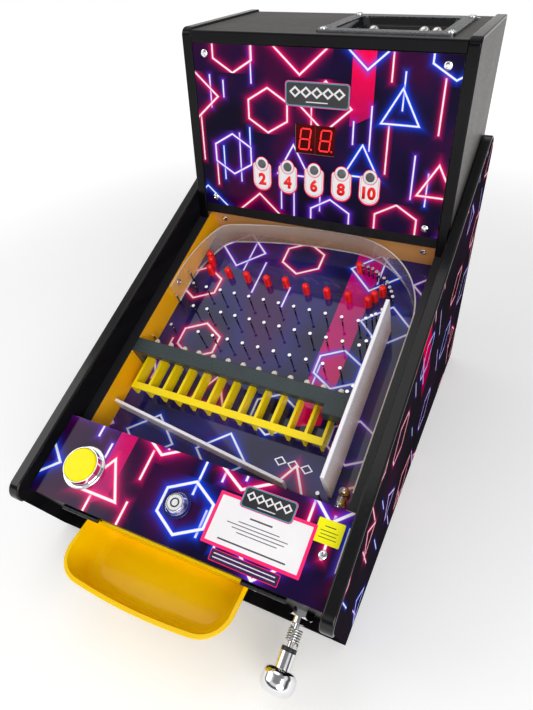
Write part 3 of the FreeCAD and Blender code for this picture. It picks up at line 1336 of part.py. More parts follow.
def startButton():
    """A housing with its nut and switch, and the cap that travels in it."""
    floor = "(buttonBarrelDepth - 4)"
    stemBore = "buttonStemRadius + runningGap"
    skirtBore = "buttonBarrelRadius - buttonWall"
    recess = "buttonRingRadius - buttonRingWall"
    housing = turned("buttonHousing", [(stemBore, "-buttonBarrelDepth"), ("buttonBarrelRadius", "-buttonBarrelDepth"),
                                       ("buttonBarrelRadius", "0"), ("buttonFlangeRadius", "0"),
                                       ("buttonFlangeRadius", "buttonFlange"), ("buttonRingFoot", "buttonFlange"),
                                       ("buttonRingRadius", "buttonRingHeight"), (recess, "buttonRingHeight"),
                                       (recess, "1"), (skirtBore, "1"), (skirtBore, f"-{floor}"),
                                       (stemBore, f"-{floor}")])
    fillet(housing, "buttonFlange * 0.6", lambda edge: hasattr(edge.Curve, "Radius")
           and near(edge.Curve.Radius, "buttonFlangeRadius") and near(midpoint(edge).z, "buttonFlange"))
    fillet(housing, "buttonRingWall * 0.4", lambda edge: near(midpoint(edge).z, "buttonRingHeight"))
    nut = turned("buttonNut", [("buttonBarrelRadius + runningGap", f"-{LID_BOTTOM} - buttonNutThickness"),
                               ("buttonNutRadius", f"-{LID_BOTTOM} - buttonNutThickness"),
                               ("buttonNutRadius", f"-{LID_BOTTOM}"),
                               ("buttonBarrelRadius + runningGap", f"-{LID_BOTTOM}")])
    stemEnd = "(buttonBarrelDepth + 2)"
    switchTop = f"({stemEnd} + buttonTravel + restGap)"
    switch = box("buttonSwitch", "-switchLength / 2", "switchLength / 2", "-switchWidth / 2", "switchWidth / 2",
                 "-switchDepth", f"-{switchTop} - 0.7")
    lever = box("buttonLever", "-switchLength / 4", "switchLength / 4", "-switchWidth / 4", "switchWidth / 4",
                f"-{switchTop} - 0.7", f"-{switchTop}")
    posts = plate("buttonPosts", "XY", [("-switchLength * 0.4", "0", "1.5"), ("switchLength * 0.4", "0", "1.5")],
                  f"-{switchTop} - 0.7", f"{switchTop} + 0.7 - buttonBarrelDepth")
    pieces = [onSlope(piece, "buttonX", "buttonV") for piece in (housing, nut, switch, lever, posts)]
    subPart(gathered("buttonAssembly", fuse("buttonBody", pieces[0], *pieces[2:]), pieces[1]), "button_housing")

    skirt = "-16"
    cap = turned("buttonCap", [("0", f"-{stemEnd}"), ("buttonStemRadius", f"-{stemEnd}"),
                               ("buttonStemRadius", skirt), ("buttonBarrelRadius - buttonWall - restGap", skirt),
                               ("buttonBarrelRadius - buttonWall - restGap", "buttonTravel + 1.2"),
                               ("buttonCapRadius", "buttonTravel + 1.2"), ("buttonCapRadius", "buttonCapTop"),
                               ("0", "buttonCapTop")])
    fillet(cap, "buttonCapRounding", lambda edge: near(midpoint(edge).z, "buttonCapTop"))
    subPart(onSlope(cap, "buttonX", "buttonV"), "button_cap")


def lidLock():
    """A cam lock: its barrel and nut stay on the lid while the plug turns the cam under the catch."""
    bore = "lockPlugRadius + runningGap"
    barrel = turned("lockBarrel", [(bore, "-lockBarrelDepth"), ("lockBarrelRadius", "-lockBarrelDepth"),
                                   ("lockBarrelRadius", "0"), ("lockCollarRadius", "0"),
                                   ("lockCollarRadius", "lockCollar"), ("lockHeadRadius", "lockCollar"),
                                   ("lockFaceRadius", "lockHeadHeight"), (bore, "lockHeadHeight")])
    fillet(barrel, "lockCollar * 0.5", lambda edge: hasattr(edge.Curve, "Radius")
           and near(edge.Curve.Radius, "lockCollarRadius") and near(midpoint(edge).z, "lockCollar"))
    fillet(barrel, "lockCollar * 0.3", lambda edge: hasattr(edge.Curve, "Radius")
           and near(edge.Curve.Radius, "lockFaceRadius") and near(midpoint(edge).z, "lockHeadHeight"))
    nut = turned("lockNut", [("lockBarrelRadius + runningGap", f"-{LID_BOTTOM} - lockNutThickness"),
                             ("lockNutRadius", f"-{LID_BOTTOM} - lockNutThickness"),
                             ("lockNutRadius", f"-{LID_BOTTOM}"),
                             ("lockBarrelRadius + runningGap", f"-{LID_BOTTOM}")])
    subPart(gathered("lockAssembly", onSlope(barrel, "lockX", "lockV"), onSlope(nut, "lockX", "lockV")),
            "lock_body")

    # The cam turns just below the catch on the rail, and a nut holds it on the plug's stub
    camTop = "(latchRailDrop + catchThickness + camGap)"
    camFoot = f"({camTop} + camThickness)"
    stubEnd = f"({camFoot} + camNutThickness)"
    plug = turned("lockPlug", [("0", f"-{stubEnd}"), ("camStubRadius", f"-{stubEnd}"),
                               ("camStubRadius", f"-{camTop}"), ("lockPlugRadius", f"-{camTop}"),
                               ("lockPlugRadius", "lockHeadHeight - 0.4"), ("0", "lockHeadHeight - 0.4")])
    # The ring-shaped keyway has a notch that sets the key's place
    keyway = turned("lockKeyway", [("keywayPinRadius", "lockHeadHeight - keywayDepth"),
                                   ("keywayRadius", "lockHeadHeight - keywayDepth"),
                                   ("keywayRadius", "lockHeadHeight + 1"), ("keywayPinRadius", "lockHeadHeight + 1")])
    notch = box("lockNotch", "-keyNotch / 2", "keyNotch / 2", "(keywayRadius + keywayPinRadius) / 2",
                "keywayRadius + keyNotch * 0.8", "lockHeadHeight - keywayDepth / 2", "lockHeadHeight + 1")
    arm = box("camArm", "0", "camReach - camWidth / 2", "-camWidth / 2", "camWidth / 2", f"-{camFoot}", f"-{camTop}")
    armEnd = plate("camEnd", "XY", [("camReach - camWidth / 2", "0", "camWidth / 2")], f"-{camFoot}", "camThickness")
    armHeel = plate("camHeel", "XY", [("0", "0", "lockPlugRadius")], f"-{camFoot}", "camThickness")
    eye = plate("camEye", "XY", [("0", "0", "camStubRadius + runningGap")], f"-{camFoot} - 1", "camThickness + 2")
    across = "(camNutAcrossFlats / 2)"
    corner = "(camNutAcrossFlats / sqrt(3))"
    hexagon = [(corner, "0"), (f"{corner} / 2", across), (f"-{corner} / 2", across), (f"-{corner}", "0"),
               (f"-{corner} / 2", f"-{across}"), (f"{corner} / 2", f"-{across}")]
    camNut = plate("camNut", "XY", [hexagon, ("0", "0", "camStubRadius + runningGap")], f"-{stubEnd}",
                   "camNutThickness")
    for piece in (plug, keyway, notch, arm, armEnd, armHeel, eye, camNut):
        onSlope(piece, "lockX", "lockV")
    turning = boolean("Cut", "lockPlugCut", plug, fuse("lockKeyCut", keyway, notch))
    cam = boolean("Cut", "camPlate", fuse("camBody", arm, armEnd, armHeel), eye)
    subPart(gathered("lockPlugAndCam", turning, cam, camNut), "lock_plug")


def screws():
    """Domed screw heads, which seat on the faces that they hold."""
    head = turned("screwHead", [("0", "0"), ("screwRadius", "0"), ("screwRadius", "screwHeight"),
                                ("0", "screwHeight")])
    fillet(head, "screwHeight * 0.75", lambda edge: near(midpoint(edge).z, "screwHeight"))
    forward = FreeCAD.Rotation(FreeCAD.Vector(1, 0, 0), 90)

    def heads(name, facing, places):
        head.Placement = FreeCAD.Placement(FreeCAD.Vector(), facing or FreeCAD.Rotation())
        return scatter(name, head, [tuple(value(size) for size in place) for place in places])

    wall = heads("wallScrews", forward, [(x, "wellLength", -31) for x in (-131.5, -2.1, 129.1)])
    ear = heads("earScrew", forward, [("(trayRightX + trayFlangeRightX) / 2 - 2", "-trayWall", -23.5)])
    inward = FreeCAD.Rotation(FreeCAD.Vector(0, 1, 0), 90)
    strip = heads("stripScrew", inward, [("stripLeftX + stripThickness / 2", "wellLength - stripLeftBack + 14", -29)])
    panel = heads("panelScrews", forward, [(f"{sign}panelScrewX", "panelFront", height)
                                           for sign in ("-", "") for height in ("panelScrewTopZ", "panelScrewLowZ")])
    inset = "(screwRadius + 1)"
    frame = heads("frameScrews", None, [(x, y, "boxTop + frameThickness")
                                        for x in (f"frameLeftX + {inset}", f"frameRightX - {inset}")
                                        for y in (f"frameFrontY + 2 * {inset}", f"frameRearY - {inset}")])
    pieces = [onSlope(wall), onSlope(ear), onSlope(strip), onLevel(panel), onLevel(frame)]
    subPart(gathered("fixingScrews", *pieces), "fixing_screws")
    single = heads("lidScrewPlaced", None, [(140.4, 41.8, 0)])
    subPart(onSlope(single), "lid_screw")


lid()
startButton()
lidLock()
screws()


# Every feature and sub-part is checked before its file is written
doc.recompute()
for piece in doc.Objects:
    if "Invalid" in piece.State or "Error" in piece.State:
        raise RuntimeError(f"{piece.Label} could not be made")
for piece in subParts:
    if piece.Shape.isNull() or not piece.Shape.isValid() or not piece.Shape.Solids:
        raise RuntimeError(f"{piece.Label} has no valid shape")
os.makedirs("parts", exist_ok=True)
for piece in subParts:
    piece.Shape.exportStep(f"parts/{piece.Label}.step")
print(len(subParts), "sub-parts")
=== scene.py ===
import math

import bmesh
import bpy
from mathutils import Matrix, Vector


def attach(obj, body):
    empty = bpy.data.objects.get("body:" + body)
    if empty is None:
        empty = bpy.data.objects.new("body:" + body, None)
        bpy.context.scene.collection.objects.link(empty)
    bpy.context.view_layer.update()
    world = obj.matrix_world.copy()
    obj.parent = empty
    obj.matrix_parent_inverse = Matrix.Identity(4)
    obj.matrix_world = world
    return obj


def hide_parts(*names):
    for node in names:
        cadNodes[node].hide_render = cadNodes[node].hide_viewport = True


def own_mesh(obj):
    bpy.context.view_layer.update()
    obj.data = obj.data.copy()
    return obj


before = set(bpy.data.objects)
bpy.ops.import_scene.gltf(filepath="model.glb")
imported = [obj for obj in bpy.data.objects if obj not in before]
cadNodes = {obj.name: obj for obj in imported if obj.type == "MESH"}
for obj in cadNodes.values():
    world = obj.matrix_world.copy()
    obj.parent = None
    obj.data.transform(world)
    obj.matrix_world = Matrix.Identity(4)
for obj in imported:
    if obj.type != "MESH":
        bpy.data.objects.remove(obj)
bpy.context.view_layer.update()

# The cabinet's axes: v runs up the slope and w stands square to it, from the lid's front edge, in millimetres
cabinet = {"slope": math.radians(24.2), "frontY": -0.2394427, "frontZ": 0.104, "outside": 0.169, "footHeight": 6.0,
           "panelFace": 361.0, "skin": 0.3}


def slopePoint(u, v, w):
    s, c = math.sin(cabinet["slope"]), math.cos(cabinet["slope"])
    return Vector((u / 1000, cabinet["frontY"] + (v * c - w * s) / 1000, cabinet["frontZ"] + (v * s + w * c) / 1000))


def levelPoint(x, y, z):
    return Vector((x / 1000, cabinet["frontY"] + y / 1000, (z + cabinet["footHeight"]) / 1000))


slopeTurn = Matrix.Rotation(cabinet["slope"], 4, "X")


# Shader arithmetic
class Signal:  # an output of a node, which takes part in sums
    def __init__(self, finish, socket):
        self.finish = finish
        self.socket = socket

    def __add__(self, other):
        return self.finish.sum("ADD", self, other)

    __radd__ = __add__

    def __sub__(self, other):
        return self.finish.sum("SUBTRACT", self, other)

    def __rsub__(self, other):
        return self.finish.sum("SUBTRACT", other, self)

    def __mul__(self, other):
        return self.finish.sum("MULTIPLY", self, other)

    __rmul__ = __mul__

    def __truediv__(self, other):
        return self.finish.sum("DIVIDE", self, other)

    def __rpow__(self, other):
        return self.finish.sum("POWER", other, self)

    def __gt__(self, other):
        return self.finish.sum("GREATER_THAN", self, other)

    def __lt__(self, other):
        return self.finish.sum("LESS_THAN", self, other)

    def __abs__(self):
        return self.finish.sum("ABSOLUTE", self)

    def __neg__(self):
        return self * -1.0

    def floor(self):
        return self.finish.sum("FLOOR", self)

    def clamped(self):
        return self.finish.sum("ADD", self, 0.0, clamp=True)


class Finish:  # a material with one main shader
    def __init__(self, name, **sockets):
        self.material = bpy.data.materials.new(name)
        self.material.use_nodes = True
        self.tree = self.material.node_tree
        self.shader = self.tree.nodes["Principled BSDF"]
        self.set(**sockets)

    def set(self, **sockets):
        for name, given in sockets.items():
            spaced = "".join(" " + c if c.isupper() else c for c in name).title()
            self.connect(given, self.shader.inputs[spaced])
        return self

    def glossed(self, level):  # 0.5 mirrors as most plastics do
        self.shader.inputs["Specular IOR Level"].default_value = level
        return self

    def connect(self, given, socket):
        if isinstance(given, Signal):
            self.tree.links.new(given.socket, socket)
        elif socket.type == "RGBA" and len(given) == 3:
            socket.default_value = (*given, 1.0)
        else:
            socket.default_value = given

    def node(self, kind, settings=None, inputs=None, output=0):
        made = self.tree.nodes.new(kind)
        for name, setting in (settings or {}).items():
            if name == "stops":
                ramp = made.color_ramp
                while len(ramp.elements) < len(setting):
                    ramp.elements.new(0.5)
                for element, (place, colour) in zip(ramp.elements, setting):
                    element.position = place
                    element.color = (*colour, 1.0)
            elif name == "rampKind":
                made.color_ramp.interpolation = setting
            else:
                setattr(made, name, setting)
        for key, given in (inputs or {}).items():
            self.connect(given, made.inputs[key])
        return Signal(self, made.outputs[output])

    def sum(self, operation, *terms, clamp=False):
        return self.node("ShaderNodeMath", {"operation": operation, "use_clamp": clamp}, dict(enumerate(terms)))

    def larger(self, a, b):
        return self.sum("MAXIMUM", a, b)

    def place(self):  # x, y and z of the surface in metres
        where = self.node("ShaderNodeTexCoord", output="Object")
        split = self.node("ShaderNodeSeparateXYZ", inputs={0: where})
        outs = split.socket.node.outputs
        return [Signal(self, outs[i]) for i in range(3)]

    def slopePlace(self):  # u, v and w of the surface in millimetres
        x, y, z = self.place()
        s, c = math.sin(cabinet["slope"]), math.cos(cabinet["slope"])
        ahead, up = y - cabinet["frontY"], z - cabinet["frontZ"]
        return x * 1000.0, (ahead * c + up * s) * 1000.0, (up * c - ahead * s) * 1000.0

    def vector(self, x=0.0, y=0.0, z=0.0):
        return self.node("ShaderNodeCombineXYZ", inputs={0: x, 1: y, 2: z})

    def mix(self, amount, first, second):
        return self.node("ShaderNodeMix", {"data_type": "RGBA"}, {0: amount, 6: first, 7: second}, output=2)

    def noise(self, scale, detail=3.0, roughness=0.5, stretch=(1, 1, 1), output=0):
        where = self.node("ShaderNodeTexCoord", output="Object")
        where = self.node("ShaderNodeMapping", inputs={"Vector": where, "Scale": stretch})
        return self.node("ShaderNodeTexNoise", {"normalize": True},
                         {"Vector": where, "Scale": scale, "Detail": detail, "Roughness": roughness}, output)

    def ramp(self, given, stops, kind="LINEAR"):
        return self.node("ShaderNodeValToRGB", {"stops": stops, "rampKind": kind}, {0: given})

    def range(self, given, low, high, toLow=0.0, toHigh=1.0, smooth=False):
        settings = {"interpolation_type": "SMOOTHSTEP" if smooth else "LINEAR", "clamp": True}
        return self.node("ShaderNodeMapRange", settings, {0: given, 1: low, 2: high, 3: toLow, 4: toHigh})

    def bump(self, height, distance, strength=1.0):
        normal = self.node("ShaderNodeBump", inputs={"Strength": strength, "Distance": distance, "Height": height})
        return self.set(normal=normal)


def paint(finish, *names):
    for name in names:
        slots = cadNodes[name].data.materials
        slots.clear()
        slots.append(finish.material)


# Plain finishes
def plastic(name, colour, rough, grain=900.0, depth=0.00002, spread=0.06, coat=0.0, gloss=0.35):
    finish = Finish(name, coatWeight=coat, coatRoughness=0.05).glossed(gloss)
    cloud = finish.noise(40.0, 4.0, 0.6)
    dark = [value * (1 - spread) for value in colour]
    light = [min(1.0, value * (1 + spread)) for value in colour]
    speck = finish.noise(grain, 2.0)
    finish.set(baseColor=finish.ramp(cloud, [(0.3, dark), (0.7, light)]),
               roughness=finish.range(speck, 0.2, 0.8, rough * 0.8, rough * 1.25))
    return finish.bump(speck, depth)


def metal(name, colour, rough, streak=(1, 1, 1), grain=500.0, depth=0.000004):
    finish = Finish(name, metallic=1.0)
    cloud = finish.noise(60.0, 3.0)
    lines = finish.noise(grain, 2.0, 0.6, streak)
    finish.set(baseColor=finish.ramp(cloud, [(0.25, [v * 0.86 for v in colour]), (0.75, colour)]),
               roughness=finish.range(lines, 0.3, 0.7, rough * 0.7, rough * 1.4))
    return finish.bump(lines, depth)


chrome = metal("chrome", (0.86, 0.86, 0.88), 0.05)
steel = metal("nail steel", (0.72, 0.72, 0.74), 0.13)
springSteel = metal("spring steel", (0.62, 0.61, 0.6), 0.16, grain=900.0)
ballSteel = metal("ball steel", (0.82, 0.8, 0.78), 0.04)
blackMetal = metal("blackened metal", (0.05, 0.05, 0.055), 0.34)

print("plain finishes made")


# Neon artwork, drawn as distances to outlines in millimetres
neon = {"pink": (1.0, 0.004, 0.2), "blue": (0.0, 0.07, 1.0), "violet": (0.2, 0.03, 0.85), "core": (1.0, 1.0, 1.0),
        "edge": 0.4}


def scattered(finish, column, row, seed):
    where = finish.vector(column, row, float(seed))
    noise = finish.node("ShaderNodeTexWhiteNoise", {"noise_dimensions": "3D"}, {"Vector": where}, output="Color")
    split = finish.node("ShaderNodeSeparateColor", inputs={0: noise})
    return [Signal(finish, split.socket.node.outputs[i]) for i in range(3)]


def glowLines(finish, colour, distance, hue, strength, reach, width):
    # lays a lit tube with its halo over what is there
    halo = (math.e ** -1) ** ((distance - width) / reach)
    colour = finish.mix((halo * strength).clamped(), colour, hue)
    core = finish.range(distance, width - neon["edge"], width + neon["edge"], 1.0, 0.0, smooth=True)
    return finish.mix(core * (strength > 0.02), colour, finish.mix(0.93, hue, neon["core"]))


def neonPrint(finish, across, up, art):
    cloud = finish.node("ShaderNodeTexNoise", {"noise_dimensions": "2D"},
                        {"Vector": finish.vector(across, up), "Scale": art["cloud"], "Detail": 1.0}, 0)
    colour = finish.ramp(cloud, art["ground"])
    # broad bands with a slanted foot
    for left, right, foot, slant, low, high in art["bands"]:
        inside = (across > left) * (across < right) * ((up - (across - left) * slant) > foot)
        shade = finish.range(up, foot, foot + art["bandFade"], 0.0, 1.0)
        colour = finish.mix(inside, colour, finish.mix(shade, high, low))
    # upright light lines in narrow columns
    wide, tall = art["streakCell"]
    column = (across / wide).floor()
    odd = scattered(finish, column, 0.0, art["seed"] + 9)[0]
    shifted = up / tall + odd
    row = shifted.floor()
    chance, length, side = scattered(finish, column, row, art["seed"] + 5)
    offX = abs(across - (column + 0.5 + (side - 0.5) * 0.5) * wide)
    offY = abs(up - (row + 0.5 - odd) * tall) - (length * 0.28 + 0.1) * tall
    lit = chance > art["streakGap"]
    hue = finish.ramp(side, [(0.0, neon["blue"]), (0.34, neon["violet"]), (0.72, neon["pink"])], "CONSTANT")
    colour = glowLines(finish, colour, finish.larger(offX, offY), hue, lit * 0.75,
                       art["reach"] * 0.7, art["line"] * 0.85)
    # outlined figures, one to a cell of a staggered grid
    wide, tall = art["cell"]
    row = (up / tall).floor()
    stagger = row * 0.5 + art["shift"]
    along = across / wide + stagger
    column = along.floor()
    pick, jitterX, jitterY = scattered(finish, column, row, art["seed"])
    kind, bright, turn = scattered(finish, column, row, art["seed"] + 3)
    x = (along - column - 0.5) * wide + (jitterX - 0.5) * art["jitter"]
    y = (up / tall - row - 0.5) * tall + (jitterY - 0.5) * art["jitter"]
    a, b = art["figure"]
    rhomb = (abs(x) / a + abs(y) / b - 1.0) * (a * b / math.hypot(a, b))
    hexagon = finish.larger(abs(x) - a * 0.8, abs(x) * 0.5 + abs(y) * 0.866 - b * 0.8)
    wedge = finish.larger(-y - b * 0.45, abs(x) * 0.87 + y * 0.5 - b * 0.45)
    first, last = kind < 0.4, kind > 0.78
    figure = rhomb * first + hexagon * (1.0 - first - last) + wedge * last
    hue = finish.ramp(pick, [(0.0, neon["pink"]), (0.42, neon["blue"]), (0.72, neon["violet"])], "CONSTANT")
    strength = (turn > art["gap"]) * finish.range(bright, 0.0, 1.0, 0.75, 1.0)
    return glowLines(finish, colour, abs(figure), hue, strength, art["reach"], art["line"])


nightGround = [(0.32, (0.003, 0.001, 0.014)), (0.5, (0.010, 0.002, 0.036)), (0.68, (0.045, 0.001, 0.035))]
fieldGround = [(0.3, (0.01, 0.008, 0.05)), (0.5, (0.022, 0.018, 0.15)), (0.7, (0.05, 0.01, 0.09))]
sideGround = [(0.3, (0.014, 0.012, 0.016)), (0.6, (0.02, 0.014, 0.024)), (0.75, (0.034, 0.012, 0.032))]
panelArt = {"seed": 4, "cell": (80.0, 60.0), "shift": 0.28, "jitter": 14.0, "figure": (29.0, 25.0), "gap": 0.14,
            "reach": 2.1, "line": 0.85, "cloud": 0.012, "ground": nightGround,
            "streakCell": (17.0, 82.0), "streakGap": 0.7,
            "backsideFrom": 0.3612,
            "bands": [(38.0, 62.0, 376.0, 0.5, (0.95, 0.0, 0.07), (0.4, 0.0, 0.09))], "bandFade": 60.0}
fieldArt = {"seed": 21, "cell": (84.0, 68.0), "shift": 0.1, "jitter": 14.0, "figure": (30.0, 27.0), "gap": 0.12,
            "reach": 1.9, "line": 1.05, "cloud": 0.009, "ground": fieldGround,
            "streakCell": (24.0, 96.0), "streakGap": 0.6,
            "bands": [(52.0, 84.0, 160.0, 0.35, (0.5, 0.0, 0.16), (0.72, 0.0, 0.1))], "bandFade": 120.0,
            "marks": (58.0, 72.5, 87.0), "markV": 122.0, "markHalf": (7.0, 5.4)}
lidArt = {"seed": 33, "cell": (88.0, 66.0), "shift": 0.42, "jitter": 10.0, "figure": (31.0, 28.0), "gap": 0.0,
          "reach": 3.0, "line": 1.3, "cloud": 0.011, "ground": nightGround,
          "streakCell": (21.0, 58.0), "streakGap": 0.55,
          "bands": [(-92.0, -72.0, 6.0, 0.6, (0.6, 0.0, 0.12), (0.3, 0.0, 0.12))], "bandFade": 70.0}
sideArt = {"seed": 57, "cell": (96.0, 62.0), "shift": 0.2, "jitter": 12.0, "figure": (33.0, 22.0), "gap": 0.25,
           "reach": 1.4, "line": 0.85, "cloud": 0.008, "ground": sideGround,
           "streakCell": (34.0, 80.0), "streakGap": 0.6,
           "bands": [(250.0, 282.0, -90.0, 0.3, (0.7, 0.0, 0.05), (0.3, 0.0, 0.08))], "bandFade": 90.0}


def printedPanel():
    finish = Finish("printed panel", roughness=0.12).glossed(0.06)
    x, y, z = finish.place()
    front = y < cabinet["frontY"] + panelArt["backsideFrom"]
    printed = neonPrint(finish, x * 1000.0, z * 1000.0, panelArt)
    finish.set(baseColor=finish.mix(front, (0.5, 0.48, 0.45), printed))
    return finish.bump(finish.noise(25.0, 1.0), 0.0001, 0.4)


def printedField():
    finish = Finish("printed playfield", roughness=0.05)
    u, v = finish.slopePlace()[:2]
    printed = neonPrint(finish, u, v, fieldArt)
    # small white mark of three rhombs
    mark = 0.0
    halfWide, halfHigh = fieldArt["markHalf"]
    for middle in fieldArt["marks"]:
        rim = abs(abs(u - middle) / halfWide + abs(v - fieldArt["markV"]) / halfHigh - 0.85)
        mark = (rim < 0.15) + mark
    finish.set(baseColor=finish.mix(mark.clamped(), printed, (0.9, 0.9, 0.92)))
    return finish.bump(finish.noise(14.0, 1.0), 0.0001, 0.35)


def printedLid():
    finish = Finish("printed lid", roughness=0.12).glossed(0.2)
    u, v, w = finish.slopePlace()
    printed = neonPrint(finish, u, v, lidArt)
    finish.set(baseColor=finish.mix(w > -0.9, (0.01, 0.01, 0.012), printed))
    return finish.bump(finish.noise(40.0, 2.0), 0.0001, 0.3)


def blackBoard(finish):
    grain = finish.noise(60.0, 4.0, 0.6, (1, 0.12, 1))
    return finish.ramp(grain, [(0.3, (0.005, 0.005, 0.006)), (0.7, (0.011, 0.010, 0.012))]), grain


def printedSide():
    finish = Finish("printed side board").glossed(0.0)
    u, v, w = finish.slopePlace()
    plain, grain = blackBoard(finish)
    printed = neonPrint(finish, v, w, sideArt)
    outside = abs(u) > (cabinet["outside"] * 1000 - cabinet["skin"])
    finish.set(baseColor=finish.mix(outside, plain, printed), roughness=finish.range(outside, 0.0, 1.0, 0.42, 0.3))
    return finish.bump(grain, 0.00006, 0.5)


def plainBoard():
    finish = Finish("black laminate").glossed(0.15)
    plain, grain = blackBoard(finish)
    finish.set(baseColor=plain, roughness=finish.range(grain, 0.2, 0.8, 0.34, 0.5))
    return finish.bump(grain, 0.00006, 0.5)


def greyLaminate():
    finish = Finish("grey laminate").glossed(0.3)
    streaks = finish.noise(22.0, 5.0, 0.65, (0.15, 1, 1))
    fine = finish.noise(400.0, 2.0, 0.5, (0.2, 1, 1))
    finish.set(baseColor=finish.ramp(streaks, [(0.3, (0.075, 0.068, 0.064)), (0.7, (0.115, 0.104, 0.1))]),
               roughness=finish.range(fine, 0.2, 0.8, 0.36, 0.52))
    return finish.bump(fine, 0.00005, 0.6)


def rawPly():
    finish = Finish("bare plywood")
    grain = finish.noise(30.0, 6.0, 0.7, (0.1, 1, 1))
    finish.set(baseColor=finish.ramp(grain, [(0.25, (0.30, 0.18, 0.09)), (0.55, (0.52, 0.36, 0.2)),
                                             (0.8, (0.62, 0.47, 0.3))]),
               roughness=finish.range(grain, 0.2, 0.8, 0.75, 0.6))
    return finish.bump(grain, 0.0002, 0.6)


backWall = {"from": 402.0, "top": -16.8}


def yellowBoard():
    finish = Finish("yellow lacquer").glossed(0.3)
    v, w = finish.slopePlace()[1:]
    peel = finish.noise(160.0, 3.0)
    cloud = finish.noise(12.0, 3.0)
    bright = finish.ramp(cloud, [(0.3, (0.96, 0.44, 0.0)), (0.7, (1.0, 0.5, 0.002))])
    tan = finish.ramp(cloud, [(0.3, (0.66, 0.33, 0.1)), (0.7, (0.78, 0.42, 0.15))])
    backFace = (v > backWall["from"]) * (w < backWall["top"])
    finish.set(baseColor=finish.mix(backFace, bright, tan), roughness=finish.range(peel, 0.2, 0.8, 0.38, 0.5))
    return finish.bump(peel, 0.00004, 0.6)


paint(printedPanel(), "art_panel")
paint(printedField(), "playfield_sheet")
paint(printedLid(), "lid_sheet")
paint(printedSide(), "cabinet_side_left", "cabinet_side_right")
paint(plainBoard(), "base_board", "front_apron", "rear_panel", "lid_board", "backbox_front_rail")
paint(greyLaminate(), "backbox_side_left", "backbox_side_right", "backbox_top")
paint(rawPly(), "panel_cleats", "playfield_board", "latch_rail")
paint(yellowBoard(), "well_wall_left", "well_wall_right", "well_wall_back")
paint(plastic("edge molding", (0.005, 0.005, 0.006), 0.15, 260.0, 0.00004, 0.2),
      "edge_molding_left", "edge_molding_right")
paint(plastic("box molding", (0.003, 0.003, 0.004), 0.15, 260.0, 0.00003, 0.2, gloss=0.14), "backbox_moldings")
paint(plastic("trim strip", (0.015, 0.015, 0.018), 0.3), "ledge_trims")
paint(plastic("comb yellow", (1.0, 0.74, 0.0), 0.24, spread=0.03), "collector_comb")
paint(plastic("tray yellow", (1.0, 0.62, 0.0), 0.18, 700.0, 0.00001, 0.03, gloss=0.28), "ball_tray")
paint(plastic("white acrylic", (0.92, 0.89, 0.95), 0.28, spread=0.02), "lane_divider", "return_rail")
paint(plastic("cover grey", (0.032, 0.045, 0.048), 0.3, 500.0, 0.00003, 0.12), "collector_cover")
paint(plastic("circuit green", (0.01, 0.1, 0.04), 0.4), "ball_sensors", "display_board")
paint(plastic("post red", (0.92, 0.008, 0.004), 0.22, spread=0.05, coat=0.3), "bumper_posts")
paint(plastic("black plastic", (0.02, 0.02, 0.022), 0.35), "plunger_collar", "power_inlet",
      "display_module")
paint(plastic("foot rubber", (0.02, 0.02, 0.02), 0.8, 300.0, 0.0001), "rubber_feet")
paint(plastic("lamp lens", (0.1, 0.1, 0.105), 0.12, spread=0.2), "score_lamps")
paint(plastic("lamp ring", (0.85, 0.84, 0.86), 0.25), "lamp_bezels")
paint(plastic("button yellow", (0.97, 0.86, 0.0), 0.22, spread=0.02, gloss=0.2), "button_cap")
paint(plastic("dish black", (0.006, 0.006, 0.007), 0.1, spread=0.2), "ball_dish")
paint(metal("frame metal", (0.15, 0.155, 0.17), 0.24), "dish_frame")
paint(steel, "plunger_rod", "lid_screw", "fixing_screws")
paint(springSteel, "plunger_outer_spring", "plunger_spring")
paint(chrome, "plunger_nut", "plunger_sleeve", "plunger_knob", "button_housing")
paint(ballSteel, "ball", "stored_balls")
paint(blackMetal, "hinge_leaves_fixed", "hinge_leaves_lid")


lock = {"u": -1.8, "v": 37.2, "ring": (3.1, 4.5), "collarFrom": 11.1}


def lockFinish():
    finish = Finish("lock body")
    u, v, w = finish.slopePlace()
    x, y = u - lock["u"], v - lock["v"]
    away = finish.sum("SQRT", x * x + y * y)
    collar = (away > lock["collarFrom"]) * (w > -0.5)
    lines = finish.noise(500.0, 2.0)
    finish.set(baseColor=finish.mix(collar, (0.86, 0.86, 0.88), (0.004, 0.008, 0.13)),
               metallic=1.0 - collar, roughness=finish.range(lines, 0.2, 0.8, 0.06, 0.14))
    return finish.bump(lines, 0.000004)


def redPane():
    finish = Finish("red pane", roughness=0.1, alpha=0.96).glossed(0.05)
    cloud = finish.noise(60.0, 1.0)
    finish.set(baseColor=finish.ramp(cloud, [(0.3, (0.05, 0.0005, 0.0005)), (0.7, (0.09, 0.001, 0.001))]))
    return finish.bump(cloud, 0.00002)


strip = {"topEdge": -20.5, "bottomEdge": -51.7, "backFrom": (335.0, 385.0), "backWithin": (60.0, 120.0)}


